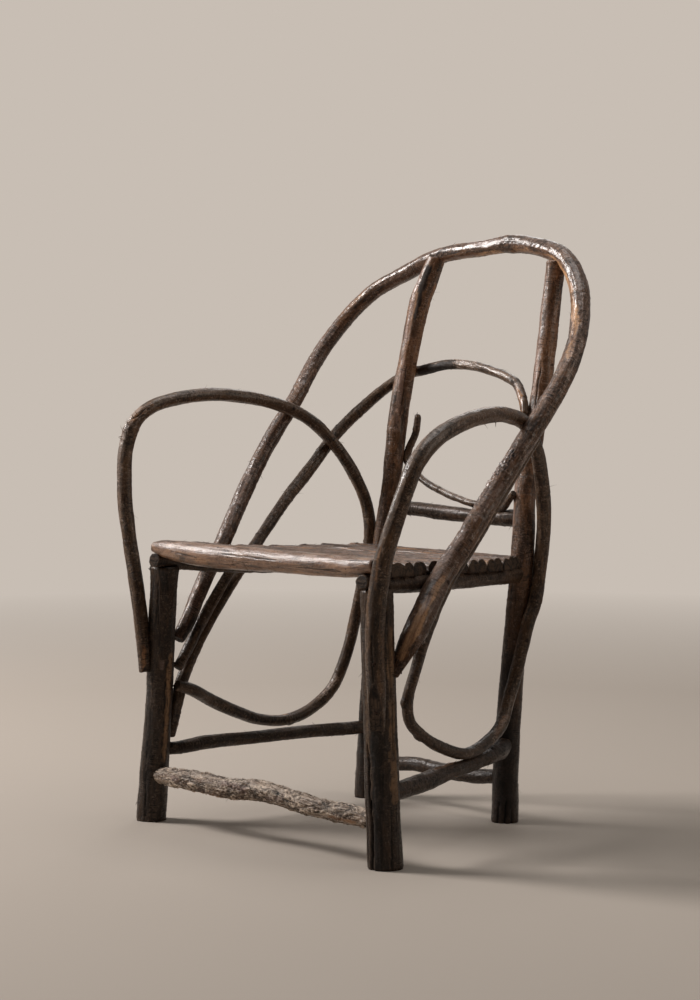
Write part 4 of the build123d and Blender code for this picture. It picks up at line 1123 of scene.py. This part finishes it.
def splitSlat(name, row, seed):
    # half of a split sapling, flat side down on the rails
    behind, wide, high, overRight, overLeft = row
    chance = random.Random(seed)
    y = seatSlats["firstY"] + behind
    right = axisAt(rightRail["stations"], y)
    left = axisAt(leftRail["stations"], y)
    footRight = right.z + right.w - seatSlats["bed"]
    footLeft = left.z + left.w - seatSlats["bed"]
    slope = (footLeft - footRight) / (left.x - right.x)
    x0, x1 = right.x - overRight, left.x + overLeft
    count = ceil((x1 - x0) / seatSlats["step"])
    around = seatSlats["across"]
    top = around * 3 // 4
    corner = high * seatSlats["corner"]
    hews = [[chance.uniform(low, high) for low, high in seatSlats["hewn"]] for _ in range(2)]
    bend = chance.uniform(-1.2, 1.2)
    parts = newParts()
    for i in range(count + 1):
        share = i / count
        atEnd = i in (0, count)
        x = x0 + (x1 - x0) * share
        toEnd = min(i, count - i) * (x1 - x0) / count
        close = 1 - 0.05 * exp(-toEnd / 5)
        base = footRight + (x - right.x) * slope
        w = wide / 2 * close * (0.94 + 0.09 * noise.noise(Vector((x * 0.014, seed, 0))))
        h = high * (0.98 + 0.05 * noise.noise(Vector((x * 0.012, seed, 4)))) * (1 - 0.03 * exp(-toEnd / 3))
        for k in range(around):
            if k <= top:
                turn = pi * k / top
                u, v = w * cos(turn), corner + (h - corner) * max(0.0, sin(turn)) ** 0.8
                rise, peeled = crownRelief(x, u, v, turn, seed)
                p = Vector((x, y + u, base + v)) + rise
                # painted shade along the lower corner of the round side
                darkening = seatSlats["cornerShade"] * exp(-((v - corner) / 3.5) ** 2)
            else:
                u = -w + 2 * w * (k - top) / (around - top)
                v = corner * max(0.0, 1 - 4 * (1 - abs(u) / w))
                ridge = abs(noise.noise(Vector((x * 0.03, u * 0.5 + seed, 3))))
                p = Vector((x, y + u, base + v + ridge * 0.8))
                # painted shade on the flat underside
                peeled, darkening = 0.0, seatSlats["bottomShade"]
            p.y += bend * sin(pi * share)
            if atEnd:
                lean, tilt, shoulder = hews[0 if i == 0 else 1]
                inward = 1 if i == 0 else -1
                p.x += inward * (abs(lean) * (0.5 + 0.5 * (u / w) * (1 if lean > 0 else -1)) + tilt * v / h
                                 + 5 * max(0.0, v / h - shoulder))
            addPoint(parts, (p + shift) * mm, (u * mm, (v - corner) * mm, x * mm + seed),
                     1.0 if atEnd else 0.0, 0.55 * peeled, min(1.0, darkening))
    joinRings(parts["faces"], 0, count + 1, around)
    for ring, inward in ((0, 1), (count, -1)):
        def sawMark(k, inset):
            dent = 0.7 * abs(noise.noise(Vector((k * 0.6, inset * 5, seed)))) * mm
            return Vector((dent * inward, 0, 0))

        closeEnd(parts, ring * around, around, inward > 0, seatSlats["insets"], sawMark,
                 seatSlats["endShade"])
    for _ in range(seatSlats["fibres"]):
        i, k = chance.randrange(2, count - 2), chance.choice((2, 4, top - 4, top - 2, top // 2, top // 3))
        root = parts["verts"][i * around + k] / mm - shift
        out = Vector((0, cos(pi * k / top), sin(pi * k / top)))
        way = (Vector((chance.choice((-1, 1)), 0, 0)) + out * chance.uniform(0.15, 0.5)).normalized()
        bow = out * chance.uniform(-0.1, 0.5) + Vector((0.01, 0, 0))
        addFibre(parts, root - out * 0.6, way, bow, chance.uniform(5, 12), chance.uniform(0.4, 0.8),
                 parts["grain"][i * around + k])
    return woodPiece(name, parts)


for i, row in enumerate(seatSlats["rows"]):
    slat = splitSlat("seatSlat%02d" % (i + 1), row, 3.7 * i + 1)
    place(slat, "slat_%02d" % (i + 1), "seat_slats", slatWood)
print("chair: seat laid")


# nails

nailHeads = {
    "sides": 12, "ragged": 0.14, "tilt": 0.06,
    # from the top of a head down: level in m, width as a share of the head's
    "head": [(0.00115, 0.96), (0.0006, 1.0), (0.0002, 0.78), (0.0, 0.4)], "neck": 0.0012, "point": 0.5,
    # how far a head stands above the wood around it, in mm
    "proud": {"spikes_front": 0.9, "nails_hoop": 0.7, "nails_frame": 0.5, "nails_seat": 0.35,
              "brads_back": 0.3}}


def woodSurface():
    verts, faces = [], []
    for piece in grown:
        first = len(verts)
        verts += [v.co for v in piece.data.vertices]
        faces += [[first + k for k in face.vertices] for face in piece.data.polygons]
    return BVHTree.FromPolygons(verts, faces)


wood = woodSurface()


def looseParts(mesh):
    # one list of vertices to a nail; faces that only touch count as joined
    same, lead = {}, []
    for k, vertex in enumerate(mesh.vertices):
        lead.append(same.setdefault(tuple(round(c, 5) for c in vertex.co), k))

    def find(a):
        while lead[a] != a:
            lead[a] = lead[lead[a]]
            a = lead[a]
        return a

    for edge in mesh.edges:
        a, b = find(edge.vertices[0]), find(edge.vertices[1])
        lead[max(a, b)] = min(a, b)
    groups = {}
    for k in range(len(lead)):
        groups.setdefault(find(k), []).append(k)
    return [groups[key] for key in sorted(groups)]


def nailAxis(spots, middle):
    # long direction of a nail, from its point to its head, with each spot's place along it and width
    low = min(spots, key=lambda v: (v.x, v.y, v.z))
    tip = max(spots, key=lambda v: (v - low).length)
    low = max(spots, key=lambda v: (v - tip).length)
    way = (tip - low).normalized()
    for _ in range(12):
        way = sum(((v - middle) * (v - middle).dot(way) for v in spots), Vector()).normalized()
    far = [(v - middle).dot(way) for v in spots]
    wide = [((v - middle) - way * (v - middle).dot(way)).length for v in spots]
    if far[wide.index(max(wide))] < (max(far) + min(far)) / 2:
        way, far = -way, [-f for f in far]
    return way, far, wide


def forgeNails(name, node):
    # each nail is redrawn on its own axis, with a ragged head let down to the wood
    solid = frame["nodes"][node]
    sides = nailHeads["sides"]
    verts, faces = [], []
    for count, part in enumerate(looseParts(solid.data)):
        spots = [solid.matrix_world @ solid.data.vertices[k].co for k in part]
        middle = sum(spots, Vector()) / len(spots)
        way, far, wide = nailAxis(spots, middle)
        point, topAt, headWide = min(far), max(far), max(wide)
        shankWide = min(w for w, f in zip(wide, far) if f < point + 0.3 * (topAt - point) and w > 0.0003)
        chance = random.Random("%s %d" % (node, count))
        side = way.orthogonal().normalized()
        up = way.cross(side)
        uneven = [1 - nailHeads["ragged"] * chance.random() for _ in range(sides)]
        tiltA = chance.uniform(-nailHeads["tilt"], nailHeads["tilt"])
        tiltB = chance.uniform(-nailHeads["tilt"], nailHeads["tilt"])
        hit = wood.ray_cast(middle + way * (topAt + 0.006), -way, 0.03)
        if hit[0]:
            topAt = min(topAt, (hit[0] - middle).dot(way) + nailHeads["proud"][node] * mm)
        rings = [(point, shankWide * nailHeads["point"]), (point + shankWide, shankWide),
                 (topAt - nailHeads["neck"], shankWide)]
        shank = len(rings)
        rings += [(topAt - down, headWide * share) for down, share in nailHeads["head"]]
        first = len(verts)
        for level, (at, wideHere) in enumerate(rings):
            for k in range(sides):
                a = 2 * pi * k / sides
                w = wideHere * (uneven[k] if level >= shank else 1)
                slant = (cos(a) * tiltA + sin(a) * tiltB) * w if level >= shank else 0
                verts.append(middle + way * (at - abs(slant)) + side * cos(a) * w + up * sin(a) * w)
        joinRings(faces, first, len(rings), sides)
        faces.append(tuple(first + k for k in range(sides))[::-1])
        faces.append(tuple(first + (len(rings) - 1) * sides + k for k in range(sides)))
    return newPiece(name, verts, faces)


for node in nailHeads["proud"]:
    place(forgeNails("forged_" + node, node), node, "iron", iron)
print("chair: nails driven")


# floor, light and camera

studio = {
    "tone": rgb(200, 190, 180), "floorTone": rgb(178, 168, 158), "floorRadius": 40, "floorSides": 96,
    "clearTo": 1.5, "fadeBy": 3.4,   # the floor turns into the backdrop between these distances
    # the room is brighter on the window side than in front of the chair
    "roomTone": rgb(255, 251, 246), "brightSide": (-0.78, 0.46, 0.42), "sideLight": 0.21, "frontLight": 0.012,
    # name: place, aim, size, watts, colour
    "lamps": {
        "windowLeft": ((-3.0, -1.8, 2.8), (0, 0, 0.5), (1.2, 1.6), 190, (1.0, 0.965, 0.94)),
        "windowBack": ((-1.9, 2.7, 2.5), (0, 0, 0.5), (1.1, 1.6), 12, (1.0, 0.985, 0.97)),
        "rightRear": ((2.8, 1.6, 1.9), (0, 0, 0.5), (1.4, 2.0), 15, (1.0, 0.88, 0.76)),
        "overhead": ((0.0, 0.3, 3.2), (0, 0, 0.4), (1.8, 1.8), 24, (1.0, 0.99, 0.98))}}


def mixShaders(tree, factor, first, second, end):
    mix = tree.nodes.new("ShaderNodeMixShader")
    for k, socket in enumerate((factor, first.outputs[0], second.outputs[0])):
        tree.links.new(socket, mix.inputs[k])
    tree.links.new(mix.outputs[0], end.inputs["Surface"])


def cameraRays(tree):
    return tree.nodes.new("ShaderNodeLightPath").outputs["Is Camera Ray"]


def layFloor(name):
    turns = [2 * pi * k / studio["floorSides"] for k in range(studio["floorSides"])]
    rim = [(studio["floorRadius"] * cos(a), studio["floorRadius"] * sin(a), 0) for a in turns]
    mesh = bpy.data.meshes.new(name)
    mesh.from_pydata(rim, [], [tuple(range(len(rim)))])
    piece = bpy.data.objects.new(name, mesh)
    bpy.context.scene.collection.objects.link(piece)
    material = bpy.data.materials.new(name + "Look")
    material.use_nodes = True
    tree = material.node_tree
    matte = tree.nodes["Principled BSDF"]
    matte.inputs["Base Color"].default_value = studio["floorTone"]
    matte.inputs["Roughness"].default_value = 0.9
    matte.inputs["Specular IOR Level"].default_value = 0.1
    glow = tree.nodes.new("ShaderNodeEmission")
    glow.inputs["Color"].default_value = studio["tone"]
    away = vectorMath(tree, "LENGTH", tree.nodes.new("ShaderNodeTexCoord").outputs["Object"])
    fade = remap(tree, away, studio["clearTo"], studio["fadeBy"])
    mixShaders(tree, times(tree, fade, cameraRays(tree)), matte, glow, tree.nodes["Material Output"])
    mesh.materials.append(material)


def lightRoom(name):
    world = bpy.data.worlds.new(name)
    world.use_nodes = True
    bpy.context.scene.world = world
    tree = world.node_tree
    tree.nodes.clear()
    end = tree.nodes.new("ShaderNodeOutputWorld")
    seen = tree.nodes.new("ShaderNodeBackground")
    seen.inputs["Color"].default_value = studio["tone"]
    soft = tree.nodes.new("ShaderNodeBackground")
    soft.inputs["Color"].default_value = studio["roomTone"]
    around = tree.nodes.new("ShaderNodeTexCoord").outputs["Generated"]
    towards = vectorMath(tree, "DOT_PRODUCT", around, studio["brightSide"])
    strength = remap(tree, towards, -0.5, 0.7, studio["frontLight"], studio["sideLight"])
    tree.links.new(strength, soft.inputs["Strength"])
    mixShaders(tree, cameraRays(tree), soft, seen, end)


def hangLamp(name, spot, aim, size, watts, tint):
    lamp = bpy.data.lights.new(name, "AREA")
    lamp.shape = "RECTANGLE"
    lamp.size, lamp.size_y = size
    lamp.energy = watts
    lamp.color = tint
    holder = bpy.data.objects.new(name, lamp)
    holder.location = spot
    holder.rotation_euler = (Vector(aim) - Vector(spot)).to_track_quat("-Z", "Y").to_euler()
    bpy.context.scene.collection.objects.link(holder)


layFloor("studioFloor")
lightRoom("studioWorld")
for name, how in studio["lamps"].items():
    hangLamp(name, *how)

viewpoint = {"place": (2.6864, -2.7713, 0.7568), "turn": 44.603, "dip": 3.936, "lens": 91.47, "sensor": 36}
cameraLens = bpy.data.cameras.new("chairCamera")
cameraLens.sensor_width = viewpoint["sensor"]
cameraLens.lens = viewpoint["lens"]
camera = bpy.data.objects.new("chairCamera", cameraLens)
camera.location = viewpoint["place"]
camera.rotation_euler = (radians(90 - viewpoint["dip"]), 0, radians(viewpoint["turn"]))
bpy.context.scene.collection.objects.link(camera)
bpy.context.scene.camera = camera
bpy.context.scene.view_settings.view_transform = "Standard"
print("chair: floor, light and camera set")
